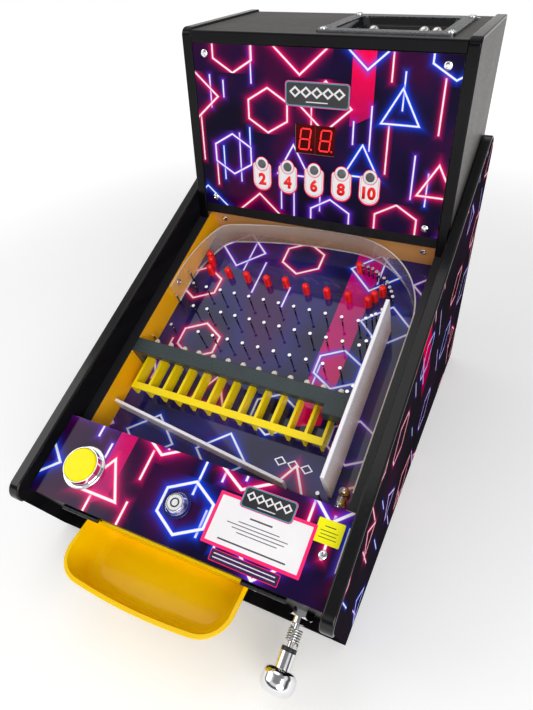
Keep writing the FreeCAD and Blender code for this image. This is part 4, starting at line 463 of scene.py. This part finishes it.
def clearStrip():
    # thin clear sheet: a faint painted reflection over what lies behind it, painted highlights along its cut edges, and
    # over the back wall a warm painted glow of the lit wall, lighter towards the top
    finish = Finish("clear acrylic", roughness=0.05)
    u, v, w = finish.slopePlace()
    cloud = finish.noise(30.0, 2.0)
    top, bottom = w > strip["topEdge"], w < strip["bottomEdge"]
    back = (finish.range(v, *strip["backFrom"], smooth=True)
            * finish.range(u, *strip["backWithin"], 1.0, 0.0, smooth=True))
    # grey haze painted on the sheet as its reflection
    paintedSheetLight = finish.ramp(cloud, [(0.3, (0.6, 0.6, 0.66)), (0.7, (0.75, 0.75, 0.8))])
    # warm ramp over the back wall is painted light of the wall behind, lighter towards the top
    paintedWallGlow = [(0.1, (0.42, 0.25, 0.16)), (0.9, (0.6, 0.5, 0.42))]
    paintedSheetLight = finish.mix(back, paintedSheetLight, finish.ramp(finish.range(w, -52.0, -21.0), paintedWallGlow))
    # top and bottom cut edges are painted light as highlights
    paintedSheetLight = finish.mix(top, paintedSheetLight, (0.78, 0.72, 0.66))
    finish.set(baseColor=finish.mix(bottom, paintedSheetLight, (0.95, 0.95, 0.97)),
               alpha=finish.larger(back * 0.5, top * 0.65 + bottom * 0.85 + 0.09))
    return finish.bump(cloud, 0.0001, 0.3)


def lockPlugSheen():
    # bright face of the lock's turning part: its chrome is half diffuse light grey as a painted sheen, and the annular
    # keyway is painted near black as shade in the slot
    finish = Finish("lock plug painted sheen", roughness=0.3)
    u, v = finish.slopePlace()[:2]
    x, y = u - lock["u"], v - lock["v"]
    away = finish.sum("SQRT", x * x + y * y)
    # ring of the keyway, painted near black as shade
    keywayShade = (away > lock["ring"][0]) * (away < lock["ring"][1])
    brushed = finish.noise(700.0, 2.0, 0.5, (1, 0.1, 0.1))
    # light grey brushed tone on a half-metal surface: painted sheen of the chrome
    paintedSheen = finish.ramp(brushed, [(0.3, (0.8, 0.8, 0.82)), (0.7, (0.95, 0.95, 0.97))])
    finish.set(baseColor=finish.mix(keywayShade, paintedSheen, (0.008, 0.008, 0.01)), metallic=0.5 - keywayShade * 0.5)
    return finish.bump(brushed, 0.000004)


heads = {"nails": -35.1, "fence": (-41.6, -40.4), "slotPins": -36.7}


def nailFinish():
    # bright flat heads on shanks painted near black as shade, heads and shanks being one steel
    finish = Finish("nails", metallic=1.0)
    w = finish.slopePlace()[2]
    worn = finish.noise(400.0, 2.0)
    low, high = heads["fence"]
    head = finish.larger(w > heads["nails"], (w > low) * (w < high))
    # the shanks' near black is painted shade
    finish.set(baseColor=finish.mix(head, (0.035, 0.033, 0.035), (0.93, 0.92, 0.93)),
               roughness=finish.range(worn, 0.2, 0.8, 0.2, 0.32))
    return finish.bump(worn, 0.000004)


def pearlHeads():
    # cream domes on steel shanks
    finish = Finish("pearl pin", coatWeight=0.3, coatRoughness=0.05)
    w = finish.slopePlace()[2]
    cloud = finish.noise(300.0, 2.0)
    head = w > heads["slotPins"]
    cream = finish.ramp(cloud, [(0.3, (0.86, 0.76, 0.62)), (0.7, (0.95, 0.88, 0.78))])
    finish.set(baseColor=finish.mix(head, (0.6, 0.6, 0.62), cream), metallic=1.0 - head,
               roughness=finish.range(cloud, 0.2, 0.8, 0.12, 0.2))
    return finish.bump(cloud, 0.000004)


paint(lockPlugSheen(), "lock_plug")
paint(nailFinish(), "playfield_nails", "fence_pins")
paint(pearlHeads(), "slot_pins")
paint(lockFinish(), "lock_body")
paint(redPane(), "display_window")
paint(clearStrip(), "guide_strip")
print("nodes painted")


# Separate small pieces
def linked(name, data):
    made = bpy.data.objects.new(name, data)
    bpy.context.scene.collection.objects.link(made)
    return made


def newPiece(name, shape, finishes, place=Matrix.Identity(4)):
    shape.transform(place)
    bmesh.ops.recalc_face_normals(shape, faces=shape.faces)
    mesh = bpy.data.meshes.new(name)
    shape.to_mesh(mesh)
    shape.free()
    for finish in finishes:
        mesh.materials.append(finish.material)
    return linked(name, mesh)


def circle(radius, count, middle=(0.0, 0.0)):
    return [(middle[0] + radius * math.cos(math.tau * i / count), middle[1] + radius * math.sin(math.tau * i / count))
            for i in range(count)]


def bridge(shape, lower, upper):  # faces between two rings with as many points
    count = len(lower)
    return [shape.faces.new((lower[i], lower[(i + 1) % count], upper[(i + 1) % count], upper[i])) for i in range(count)]


def layer(shape, outline, bottom, top, slot, hole=None):
    # a flat layer in millimetres over an outline, or the band between two outlines with as many points
    rings = []
    for points, height in ((outline, bottom), (outline, top), (hole, top), (hole, bottom)):
        if points:
            rings.append([shape.verts.new((x / 1000, y / 1000, height / 1000)) for x, y in points])
    faces = []
    if not hole:
        faces += [shape.faces.new(rings[1]), shape.faces.new(rings[0][::-1])]
        pairs = [(rings[0], rings[1])]
    else:
        pairs = list(zip(rings, rings[1:] + rings[:1]))
    for lower, upper in pairs:
        faces += bridge(shape, lower, upper)
    for face in faces:
        face.material_index = slot


def roundedBox(left, right, low, high, corner, steps=8):
    points = []
    for x, y, start in ((right, high, 0), (left, high, 90), (left, low, 180), (right, low, 270)):
        centreX = x - corner if x == right else x + corner
        centreY = y - corner if y == high else y + corner
        for i in range(steps + 1):
            angle = math.radians(start + 90 * i / steps)
            points.append((centreX + corner * math.cos(angle), centreY + corner * math.sin(angle)))
    return points


def onPanel(x, z, lift=0.0):  # local x and y lie on the picture panel, local z comes out of it
    place = levelPoint(x, cabinet["panelFace"] - lift, z)
    return Matrix.Translation(place) @ Matrix.Rotation(math.radians(90), 4, "X")


def onLid(u, v, lift=0.0):
    return Matrix.Translation(slopePoint(u, v, lift)) @ slopeTurn


def addText(shape, text, height, middle, heavy, bottom, top, slot):
    # built-in letters, made bolder by their offset and scaled to a height
    curve = bpy.data.curves.new("number", "FONT")
    curve.body = text
    curve.offset = heavy
    curve.resolution_u = 5
    curve.align_x = "CENTER"
    holder = bpy.data.objects.new("number", curve)
    mesh = holder.to_mesh()
    low = min(v.co.y for v in mesh.vertices)
    tall = max(v.co.y for v in mesh.vertices) - low
    left, right = min(v.co.x for v in mesh.vertices), max(v.co.x for v in mesh.vertices)
    scale = height / tall
    letters = bmesh.new()
    letters.from_mesh(mesh)
    bmesh.ops.remove_doubles(letters, verts=letters.verts, dist=1e-5)
    flat = list(letters.faces)
    bmesh.ops.solidify(letters, geom=flat, thickness=-0.01)
    heights = sorted({round(v.co.z, 5) for v in letters.verts})
    for vert in letters.verts:
        upper = vert.co.z > (heights[0] + heights[-1]) / 2
        vert.co = Vector(((vert.co.x - (left + right) / 2) * scale + middle[0],
                          (vert.co.y - low - tall / 2) * scale + middle[1], top if upper else bottom)) / 1000
    for face in letters.faces:
        face.material_index = slot
    merged = bpy.data.meshes.new("letters")
    letters.to_mesh(merged)
    letters.free()
    shape.from_mesh(merged)
    holder.to_mesh_clear()


# Labels of the lamps: a rounded tag that joins the ring round each lamp
tag = {"width": 23.4, "top": 1.6, "bottom": -30.6, "shoulder": 4.0, "foot": 11.0, "ring": 8.3, "bezel": 7.5,
       "middle": -12.0, "thick": 0.4, "numberHeight": 14.4, "numberLow": -17.6, "numberWeight": 0.052, "points": 120,
       "apart": 32.4, "lampHeight": 319.8, "search": (30.0, 0.05)}


def tagOutline(inset):
    def outside(x, y):
        ring = math.hypot(x, y) - tag["ring"]
        half = tag["width"] / 2
        corner = tag["foot"] if y < tag["middle"] else tag["shoulder"]
        centre = (tag["top"] + tag["bottom"]) / 2
        dx = abs(x) - (half - corner)
        dy = abs(y - centre) - ((tag["top"] - tag["bottom"]) / 2 - corner)
        body = math.hypot(max(dx, 0), max(dy, 0)) + min(max(dx, dy), 0) - corner
        return min(ring, body) > -inset

    points = []
    for i in range(tag["points"]):
        angle = 2 * math.pi * i / tag["points"]
        reach, step = tag["search"]
        while outside(reach * math.cos(angle), tag["middle"] + reach * math.sin(angle)):
            reach -= step
        points.append((reach * math.cos(angle), tag["middle"] + reach * math.sin(angle)))
    return points


labelWhite = plastic("label white", (0.9, 0.87, 0.89), 0.3, 400.0, 0.00001, 0.03)
labelPink = plastic("label pink", (0.95, 0.01, 0.09), 0.3, 400.0, 0.00001, 0.05)
labelEdge = plastic("label edge", (0.5, 0.22, 0.28), 0.3, 400.0, 0.00001, 0.05)
numberRed = plastic("number red", (1.0, 0.002, 0.002), 0.3, 400.0, 0.00001, 0.05)
labels = bmesh.new()
for index, number in enumerate(("2", "4", "6", "8", "10")):
    one = bmesh.new()
    outer, band, line, field = (tagOutline(inset) for inset in (0.0, 0.6, 1.7, 2.1))
    thick = tag["thick"]
    layer(one, [(x, y - 0.9) for x, y in tagOutline(-0.35)], 0.0, thick * 0.5, 1)  # shows as a shadow line below
    layer(one, outer, thick * 0.5, thick, 1, band)
    layer(one, band, thick * 0.5, thick, 0, line)
    layer(one, line, thick * 0.5, thick, 2, field)
    layer(one, field, thick * 0.5, thick, 0)
    layer(one, circle(tag["ring"], 64), thick, thick + 0.1, 1, circle(tag["bezel"], 64))
    addText(one, number, tag["numberHeight"], (0.0, tag["numberLow"]), tag["numberWeight"],
            thick - 0.05, thick + 0.06, 3)
    one.transform(onPanel((index - 2) * tag["apart"], tag["lampHeight"]))
    copied = bpy.data.meshes.new("tag")
    one.to_mesh(copied)
    one.free()
    labels.from_mesh(copied)
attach(newPiece("score_tags", labels, [labelWhite, labelPink, labelEdge, numberRed]), "root")
print("score tags made")


# Two seven-segment digits, a little behind the panel's face
digits = {"height": 23.5, "width": 13.0, "bar": 1.6, "gap": 0.3, "lean": 0.13, "apart": 23.6, "dot": 0.95,
          "thick": 0.08, "dotAfter": 2.3, "divider": (0.3, 15.3), "up": 352.5, "lift": -0.72}


def segmentBars():
    w, h, t, gap = digits["width"] / 2, digits["height"] / 2, digits["bar"] / 2, digits["gap"]
    bars = []
    for y in (h - t, 0.0, t - h):
        bars.append([(-w + t + gap, y), (-w + 2 * t + gap, y + t), (w - 2 * t - gap, y + t), (w - t - gap, y),
                     (w - 2 * t - gap, y - t), (-w + 2 * t + gap, y - t)])
    for x in (-w + t, w - t):
        for low, high in ((t - h, 0.0), (0.0, h - t)):
            bars.append([(x, low + gap), (x + t, low + t + gap), (x + t, high - t - gap), (x, high - gap),
                         (x - t, high - t - gap), (x - t, low + t + gap)])
    return bars


lit = Finish("lit segments", roughness=0.3, emissionStrength=0.75)
glowing = lit.noise(900.0, 1.0)
lit.set(baseColor=lit.ramp(glowing, [(0.3, (0.9, 0.006, 0.01)), (0.7, (1.0, 0.012, 0.02))]),
        emissionColor=lit.ramp(glowing, [(0.3, (0.9, 0.006, 0.01)), (0.7, (1.0, 0.014, 0.025))]))
unlit = plastic("display divider", (0.16, 0.002, 0.003), 0.3, 600.0, 0.00001, 0.1)
shape = bmesh.new()
for side in (-0.5, 0.5):
    for bar in segmentBars():
        leaned = [(x + y * digits["lean"] + side * digits["apart"], y) for x, y in bar]
        layer(shape, leaned, 0.0, digits["thick"], 0)
    middle = (digits["width"] / 2 + digits["dotAfter"] - digits["height"] / 2 * digits["lean"] + side * digits["apart"],
              digits["dot"] - digits["height"] / 2)
    layer(shape, circle(digits["dot"], 20, middle), 0.0, digits["thick"], 0)
across, along = digits["divider"]
layer(shape, [(-across, -along), (across, -along), (across, along), (-across, along)], 0.0, digits["thick"], 1)
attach(newPiece("display_digits", shape, [lit, unlit], onPanel(0.0, digits["up"], digits["lift"])), "root")
print("display digits made")


# Plain plates and stickers
def onRules(u, v, rules):
    # 1 on a set of level rules, each given by its foot, its ends and its thickness
    ruled = 0.0
    for low, left, right, thick in rules:
        ruled = (v > low) * (v < low + thick) * (u > left) * (u < right) + ruled
    return ruled


def plateFinish():
    finish = Finish("plate face", roughness=0.32)
    speck = finish.noise(500.0, 2.0)
    shade = finish.noise(30.0, 2.0)
    finish.set(baseColor=finish.ramp(shade, [(0.3, (0.012, 0.012, 0.014)), (0.7, (0.03, 0.03, 0.034))]))
    return finish.bump(speck, 0.00001)


def cardFinish():
    # white card with thin grey rules
    finish = Finish("card face", roughness=0.35)
    u, v = finish.slopePlace()[:2]
    cloud = finish.noise(25.0, 2.0)
    paper = finish.ramp(cloud, [(0.3, (0.86, 0.83, 0.85)), (0.7, (0.93, 0.91, 0.92))])
    finish.set(baseColor=finish.mix(onRules(u, v, card["rules"]), paper, (0.06, 0.06, 0.07)))
    return finish.bump(cloud, 0.00001)


def frameFinish():
    finish = Finish("card frame", roughness=0.35)
    u, v = finish.slopePlace()[:2]
    stripe = finish.node("ShaderNodeTexWave", {"wave_type": "BANDS", "bands_direction": "DIAGONAL"},
                         {"Vector": finish.vector(u, v), "Scale": 0.22})
    finish.set(baseColor=finish.mix(stripe, (0.95, 0.006, 0.14), (1.0, 0.012, 0.17)))
    return finish.bump(finish.noise(400.0, 2.0), 0.00001)


card = {"left": 33.4, "right": 128.3, "low": 15.6, "high": 63.8, "frame": 3.1, "thick": 0.25,
        "rules": [(47.6, 69.0, 91.0, 1.5), (42.4, 60.0, 100.0, 0.8), (39.2, 50.0, 109.0, 0.8), (36.0, 56.0, 107.0, 0.8),
                  (32.8, 62.0, 101.0, 0.8), (22.6, 47.5, 113.0, 1.4)]}
plates = [("panel_plate", onPanel(1.3, 398.2), 36.0, 12.6), ("lid_plate", onLid(80.2, 65.8, card["thick"]), 26.0, 10.4)]
plateFace = plateFinish()
plateCyan = plastic("plate cyan", (0.03, 0.4, 0.5), 0.3, 500.0, 0.00001, 0.06)
platePink = plastic("plate pink", (0.9, 0.1, 0.32), 0.3, 500.0, 0.00001, 0.06)
plateWhite = plastic("plate white", (0.8, 0.78, 0.8), 0.3, 500.0, 0.00001, 0.04)
for name, place, halfWide, halfHigh in plates:
    shape = bmesh.new()
    outlines = [roundedBox(inset - halfWide, halfWide - inset, inset - halfHigh, halfHigh - inset, 4.0 - inset * 0.7)
                for inset in (0.0, 0.7, 1.0, 1.7)]
    for slot, (outer, inner) in enumerate(zip(outlines, outlines[1:])):
        layer(shape, outer, 0.0, 0.3, (2, 0, 1)[slot], inner)
    layer(shape, outlines[-1], 0.0, 0.3, 0)
    step, tall = halfWide * 0.34, halfHigh * 0.46
    for column in (-2, -1, 0, 1, 2):
        rhombs = [[(column * step + x * step * size, y * tall * size + halfHigh * 0.16)
                   for x, y in ((0.55, 0), (0, 1), (-0.55, 0), (0, -1))] for size in (1.0, 0.56)]
        layer(shape, rhombs[0], 0.3, 0.38, 3, rhombs[1])
    bar = roundedBox(-halfWide * 0.34, halfWide * 0.34, -halfHigh * 0.62, -halfHigh * 0.54, 0.3, 3)
    layer(shape, bar, 0.3, 0.36, 3)
    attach(newPiece(name, shape, [plateFace, plateCyan, platePink, plateWhite], place),
            "root" if name == "panel_plate" else "lid")

shape = bmesh.new()
outer = roundedBox(card["left"], card["right"], card["low"], card["high"], 0.8, 3)
inner = roundedBox(card["left"] + card["frame"], card["right"] - card["frame"], card["low"] + card["frame"],
                   card["high"] - card["frame"], 0.6, 3)
layer(shape, outer, 0.0, card["thick"], 1, inner)
layer(shape, inner, 0.0, card["thick"], 0)
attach(newPiece("lid_card", shape, [cardFinish(), frameFinish()], onLid(0.0, 0.0)), "lid")

sticker = {"left": 127.0, "right": 151.0, "low": 50.5, "high": 71.5, "thick": 0.12,
           "rules": [(65.0, 134.0, 144.0, 0.9), (61.0, 131.0, 147.0, 0.7), (58.0, 132.0, 146.0, 0.7),
                     (55.0, 131.0, 147.0, 0.7)]}


def ruledSheet(name, ground, ink, rules):
    # a plain printed ground with rules across it
    finish = Finish(name, roughness=0.35).glossed(0.3)
    u, v = finish.slopePlace()[:2]
    cloud = finish.noise(25.0, 2.0)
    ruled = onRules(u, v, rules)
    shade = finish.ramp(cloud, [(0.3, [value * 0.94 for value in ground]), (0.7, ground)])
    finish.set(baseColor=finish.mix(ruled, shade, ink))
    return finish.bump(cloud, 0.00001)


shape = bmesh.new()
outer = roundedBox(sticker["left"], sticker["right"], sticker["low"], sticker["high"], 1.0, 4)
layer(shape, outer, 0.0, sticker["thick"], 0)
stickerYellow = ruledSheet("sticker yellow", (0.97, 0.92, 0.0), (0.08, 0.08, 0.02), sticker["rules"])
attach(newPiece("lid_sticker", shape, [stickerYellow], onLid(0.0, 0.0)), "lid")

note = {"left": 47.0, "right": 113.0, "low": 3.6, "high": 14.0, "thick": 0.1, "rim": 0.6,
        "rules": [(10.2, 50.0, 109.0, 0.9), (6.8, 50.0, 110.0, 0.9)]}
shape = bmesh.new()
outer = roundedBox(note["left"], note["right"], note["low"], note["high"], 0.8, 3)
inner = roundedBox(note["left"] + note["rim"], note["right"] - note["rim"],
                   note["low"] + note["rim"], note["high"] - note["rim"], 0.5, 3)
layer(shape, outer, 0.0, note["thick"], 1, inner)
layer(shape, inner, 0.0, note["thick"], 0)
noteGround = ruledSheet("note ground", (0.04, 0.012, 0.07), (0.75, 0.7, 0.78), note["rules"])
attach(newPiece("lid_note", shape, [noteGround, labelPink], onLid(0.0, 0.0)), "lid")
print("stickers made")


# Short red wire end beside the collecting bar, and a small white dot on the top board
def wireEnd():
    shape = bmesh.new()
    steps, sides, radius = 10, 10, 0.7
    rings = []
    for i in range(steps + 1):
        along = i / steps
        centre = slopePoint(100.6 + 6.4 * along, 177.0 - 7.6 * along, -38.6 - 1.6 * math.sin(along * math.pi))
        rings.append([shape.verts.new(centre + slopeTurn @ Vector((0.76 * math.cos(math.tau * k / sides),
                                                                  0.64 * math.cos(math.tau * k / sides),
                                                                  math.sin(math.tau * k / sides))) * radius / 1000)
                      for k in range(sides)])
    for lower, upper in zip(rings, rings[1:]):
        bridge(shape, lower, upper)
    shape.faces.new(rings[0])
    shape.faces.new(rings[-1][::-1])
    return shape


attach(newPiece("wire_end", wireEnd(), [plastic("wire red", (0.85, 0.01, 0.01), 0.35)]), "root")
shape = bmesh.new()
topDot = {"radius": 2.2, "thick": 0.15, "place": (131.2, 494.1, 456.0)}
layer(shape, circle(topDot["radius"], 32), 0.0, topDot["thick"], 0)
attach(newPiece("top_dot", shape, [labelWhite], Matrix.Translation(levelPoint(*topDot["place"]))), "root")


# Main spring of the plunger, wound at its rest length; on the machine it shortens as the knob is pulled
spring = {"u": 131.0, "w": -47.0, "low": 24.3, "high": 98.1, "radius": 4.25, "wire": 0.55, "turns": 9, "rings": 26,
          "sides": 10, "closed": 0.75, "pull": 35.0}


def springCoil():
    shape = bmesh.new()
    length = spring["high"] - spring["low"] - 2 * spring["wire"]
    count = spring["turns"] * spring["rings"]
    closed = spring["closed"]  # turns at each end that lie close together
    rings = []
    for i in range(count + 1):
        turn = i / spring["rings"]
        flat = min(turn, closed) + max(0.0, turn - (spring["turns"] - closed))
        flatRise = 2.4 * spring["wire"]
        openRise = (length - 2 * closed * flatRise) / (spring["turns"] - 2 * closed)
        along = spring["low"] + spring["wire"] + flat * flatRise + (turn - flat) * openRise
        angle = math.tau * turn
        out = Vector((math.cos(angle), 0, math.sin(angle)))
        centre = Vector((spring["u"], along, spring["w"])) + out * spring["radius"]
        ring = []
        for k in range(spring["sides"]):
            around = math.tau * k / spring["sides"]
            point = centre + (out * math.cos(around) + Vector((0, 1, 0)) * math.sin(around)) * spring["wire"]
            ring.append(shape.verts.new(slopePoint(*point)))
        rings.append(ring)
    for lower, upper in zip(rings, rings[1:]):
        for face in bridge(shape, lower, upper):
            face.smooth = True
    shape.faces.new(rings[0])
    shape.faces.new(rings[-1][::-1])
    return shape


mainSpring = newPiece("main_spring_coil", springCoil(), [springSteel])
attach(mainSpring, "root")
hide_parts("plunger_spring")
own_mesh(mainSpring)
print("main spring wound")


# Screw heads with a cross recess, set out by a node tree
screw = {"radius": 4.1, "height": 1.8, "rim": 0.45, "slotLength": 2.5, "slotWidth": 0.62, "slotDepth": 1.1,
         "segments": 40, "seed": 7}


def screwMesh():
    shape = bmesh.new()
    rings = []
    rim = screw["rim"]
    profile = [(screw["radius"], 0.02), (screw["radius"], rim)]
    steps = 8
    for i in range(1, steps + 1):
        angle = math.radians(90 * i / steps)
        profile.append((0.02 + (screw["radius"] - 0.02) * math.cos(angle),
                        rim + (screw["height"] - rim) * math.sin(angle)))
    for radius, height in profile:
        rings.append([shape.verts.new((x / 1000, y / 1000, height / 1000))
                      for x, y in circle(radius, screw["segments"])])
    for lower, upper in zip(rings, rings[1:]):
        bridge(shape, lower, upper)
    shape.faces.new(rings[-1])
    shape.faces.new(rings[0][::-1])
    body = bpy.data.meshes.new("screw body")
    bmesh.ops.recalc_face_normals(shape, faces=shape.faces)
    shape.to_mesh(body)
    shape.free()
    cross = bmesh.new()
    long, wide, deep = screw["slotLength"], screw["slotWidth"], screw["height"] - screw["slotDepth"]
    arm = [(wide, wide), (wide, long), (-wide, long), (-wide, wide), (-long, wide), (-long, -wide), (-wide, -wide),
           (-wide, -long), (wide, -long), (wide, -wide), (long, -wide), (long, wide)]
    low = [cross.verts.new((x * 0.55 / 1000, y * 0.55 / 1000, deep / 1000)) for x, y in arm]
    high = [cross.verts.new((x * 1.12 / 1000, y * 1.12 / 1000, (screw["height"] + 0.5) / 1000)) for x, y in arm]
    cross.faces.new(high)
    cross.faces.new(low[::-1])
    bridge(cross, low, high)
    bmesh.ops.recalc_face_normals(cross, faces=cross.faces)
    tool = bpy.data.meshes.new("cross")
    cross.to_mesh(tool)
    cross.free()
    head, cutter = linked("head", body), linked("cutter", tool)
    cut = head.modifiers.new("recess", "BOOLEAN")
    cut.operation, cut.object, cut.solver = "DIFFERENCE", cutter, "EXACT"
    graph = bpy.context.evaluated_depsgraph_get()
    result = bpy.data.meshes.new_from_object(head.evaluated_get(graph))
    for thing in (head, cutter):
        bpy.data.objects.remove(thing)
    for face in result.polygons:
        face.use_smooth = True
    result.set_sharp_from_angle(angle=math.radians(35))
    return result


def screwTree(master, finish):
    tree = bpy.data.node_groups.new("screws", "GeometryNodeTree")
    tree.interface.new_socket("Places", in_out="INPUT", socket_type="NodeSocketGeometry")
    tree.interface.new_socket("Seed", in_out="INPUT", socket_type="NodeSocketInt")
    tree.interface.new_socket("Finish", in_out="INPUT", socket_type="NodeSocketMaterial")
    tree.interface.new_socket("Screws", in_out="OUTPUT", socket_type="NodeSocketGeometry")
    make, link = tree.nodes.new, tree.links.new
    start, end = make("NodeGroupInput"), make("NodeGroupOutput")
    source = make("GeometryNodeObjectInfo")
    source.inputs["Object"].default_value = master
    facing = make("GeometryNodeInputNamedAttribute")
    facing.data_type = "FLOAT_VECTOR"
    facing.inputs["Name"].default_value = "facing"
    align = make("FunctionNodeAlignRotationToVector")
    align.axis = "Z"
    link(facing.outputs["Attribute"], align.inputs["Vector"])
    spin = make("FunctionNodeRandomValue")
    spin.data_type = "FLOAT"
    spin.inputs[2].default_value, spin.inputs[3].default_value = 0.0, math.tau
    link(start.outputs["Seed"], spin.inputs["Seed"])
    about = make("FunctionNodeAxisAngleToRotation")
    about.inputs["Axis"].default_value = (0, 0, 1)
    link(spin.outputs[1], about.inputs["Angle"])
    turn = make("FunctionNodeRotateRotation")
    turn.rotation_space = "LOCAL"
    link(align.outputs["Rotation"], turn.inputs["Rotation"])
    link(about.outputs["Rotation"], turn.inputs["Rotate By"])
    points = make("GeometryNodeInstanceOnPoints")
    link(start.outputs["Places"], points.inputs["Points"])
    link(source.outputs["Geometry"], points.inputs["Instance"])
    link(turn.outputs["Rotation"], points.inputs["Rotation"])
    real = make("GeometryNodeRealizeInstances")
    link(points.outputs["Instances"], real.inputs["Geometry"])
    dress = make("GeometryNodeSetMaterial")
    link(real.outputs["Geometry"], dress.inputs["Geometry"])
    link(start.outputs["Finish"], dress.inputs["Material"])
    link(dress.outputs["Geometry"], end.inputs["Screws"])
    return tree


def setScrews(name, places, seed):
    # places are pairs of a seat and the way the head faces
    mesh = bpy.data.meshes.new(name + " places")
    mesh.from_pydata([tuple(seat) for seat, way in places], [], [])
    facing = mesh.attributes.new("facing", "FLOAT_VECTOR", "POINT")
    for item, (seat, way) in zip(facing.data, places):
        item.vector = way
    carrier = linked(name + " places", mesh)
    modifier = carrier.modifiers.new("screws", "NODES")
    modifier.node_group = screwNodes
    for item in screwNodes.interface.items_tree:
        if item.item_type == "SOCKET" and item.name == "Seed":
            modifier[item.identifier] = seed
        elif item.item_type == "SOCKET" and item.name == "Finish":
            modifier[item.identifier] = chrome.material
    graph = bpy.context.evaluated_depsgraph_get()
    result = bpy.data.meshes.new_from_object(carrier.evaluated_get(graph))
    bpy.data.objects.remove(carrier)
    return linked(name, result)


screwMaster = linked("screw master", screwMesh())
screwNodes = screwTree(screwMaster, chrome)
slopeUp, slopeOut = slopeTurn @ Vector((0, 0, 1)), slopeTurn @ Vector((0, -1, 0))
levelOut, levelUp = Vector((0, -1, 0)), Vector((0, 0, 1))
seats = [(slopePoint(x, 402.8, -31.0), slopeOut) for x in (-131.5, -2.1, 129.1)]
seats.append((slopePoint(90.3, -2.2, -23.5), slopeOut))
seats.append((slopePoint(-143.45, 290.3, -29.0), Vector((1, 0, 0))))
seats += [(levelPoint(x, cabinet["panelFace"], z), levelOut) for x in (-130.0, 130.0) for z in (432.0, 271.5)]
seats += [(levelPoint(x, y, 456.4), levelUp) for x in (-1.4, 124.9) for y in (382.2, 498.9)]
fixing = setScrews("fixing_screw_heads", seats, screw["seed"])
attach(fixing, "root")
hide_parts("fixing_screws")
lidHead = setScrews("lid_screw_head", [(slopePoint(140.4, 41.8, 0.0), slopeUp)], screw["seed"] + 3)
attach(lidHead, "lid")
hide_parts("lid_screw")
bpy.data.objects.remove(screwMaster)
print("screws set")


# Camera at the photograph's angle
cameraPlace = {"turn": ((0.90255771, -0.23518023, 0.36066582), (0.42956922, 0.54888675, -0.71707295),
                        (-0.02932331, 0.80213066, 0.59642816)),
               "place": (0.23091538, -0.47301182, 0.54282), "lens": 28.9629}
camera = linked("camera", bpy.data.cameras.new("camera"))
camera.data.lens = cameraPlace["lens"]
camera.data.sensor_width = 36.0
camera.data.clip_start, camera.data.clip_end = 0.01, 50.0
camera.matrix_world = Matrix.Translation(cameraPlace["place"]) @ Matrix(cameraPlace["turn"]).to_4x4()
bpy.context.scene.camera = camera


# Pale studio
studio = {"floorSize": 8.0, "floorColour": 0.82, "floorLift": (0.28, 0.75), "liftFrom": (0.6, 1.8), "skyLight": 0.35,
          "sky": [(0.0, 1.0), (0.06, 1.0), (0.2, 0.1), (0.42, 0.1), (0.55, 0.85), (0.74, 0.85), (0.86, 0.25)],
          "lamps": [((-0.35, 0.25, 1.9), 1.5, 5.5, (0.0, 0.0, 0.1)), ((1.15, -1.6, 1.1), 1.6, 30.0, (0.0, 0.0, 0.15)),
                    ((-1.5, -0.7, 1.2), 1.4, 9.0, (0.0, 0.0, 0.15))]}


def makeFloor():
    mesh = bpy.data.meshes.new("floor")
    shape = bmesh.new()
    bmesh.ops.create_grid(shape, x_segments=8, y_segments=8, size=studio["floorSize"] / 2)
    shape.to_mesh(mesh)
    shape.free()
    floor = linked("floor", mesh)
    finish = Finish("studio floor", roughness=0.9, emissionStrength=1.0).glossed(0.0)
    rays = [finish.node("ShaderNodeLightPath", output=kind)
            for kind in ("Is Camera Ray", "Is Glossy Ray", "Is Transmission Ray")]
    shown = (rays[0] + rays[1] + rays[2]).clamped()
    x, y = finish.place()[:2]
    lift = finish.range(finish.sum("SQRT", x * x + y * y), *studio["liftFrom"], *studio["floorLift"], smooth=True)
    finish.set(baseColor=(studio["floorColour"],) * 3,
               emissionColor=finish.mix(shown * lift, (0.0, 0.0, 0.0), (1.0, 1.0, 1.0)))
    mesh.materials.append(finish.material)


def makeLights():
    world = bpy.data.worlds.new("studio")
    bpy.context.scene.world = world
    world.use_nodes = True
    tree = world.node_tree
    make, link = tree.nodes.new, tree.links.new
    path = make("ShaderNodeLightPath")
    where = make("ShaderNodeTexCoord")
    split = make("ShaderNodeSeparateXYZ")
    link(where.outputs["Generated"], split.inputs[0])
    # what metal and gloss mirror: white at the horizon, then a dim belt, a bright one and a dimmer top
    mirrored = make("ShaderNodeValToRGB")
    for index, (height, bright) in enumerate(studio["sky"]):
        stop = mirrored.color_ramp.elements[index] if index < 2 else mirrored.color_ramp.elements.new(height)
        stop.position = height
        stop.color = (bright, bright, bright, 1.0)
    link(split.outputs["Z"], mirrored.inputs[0])
    level = studio["skyLight"]
    last = None
    for ray, shown in (("Is Glossy Ray", mirrored), ("Is Transmission Ray", None), ("Is Camera Ray", None)):
        choice = make("ShaderNodeMix")
        choice.data_type = "RGBA"
        link(path.outputs[ray], choice.inputs[0])
        choice.inputs[6].default_value = (level, level, level, 1.0)
        choice.inputs[7].default_value = (1.0, 1.0, 1.0, 1.0)
        if last:
            link(last.outputs[2], choice.inputs[6])
        if shown:
            link(shown.outputs[0], choice.inputs[7])
        last = choice
    link(last.outputs[2], tree.nodes["Background"].inputs["Color"])
    for index, (place, size, power, aim) in enumerate(studio["lamps"]):
        lamp = bpy.data.lights.new(f"softbox{index}", "AREA")
        lamp.shape = "DISK"
        lamp.size = size
        lamp.energy = power
        holder = linked(f"softbox{index}", lamp)
        holder.location = place
        holder.rotation_euler = (Vector(aim) - holder.location).to_track_quat("-Z", "Y").to_euler()


makeFloor()
makeLights()
bpy.context.scene.view_settings.view_transform = "Standard"
print("studio ready")
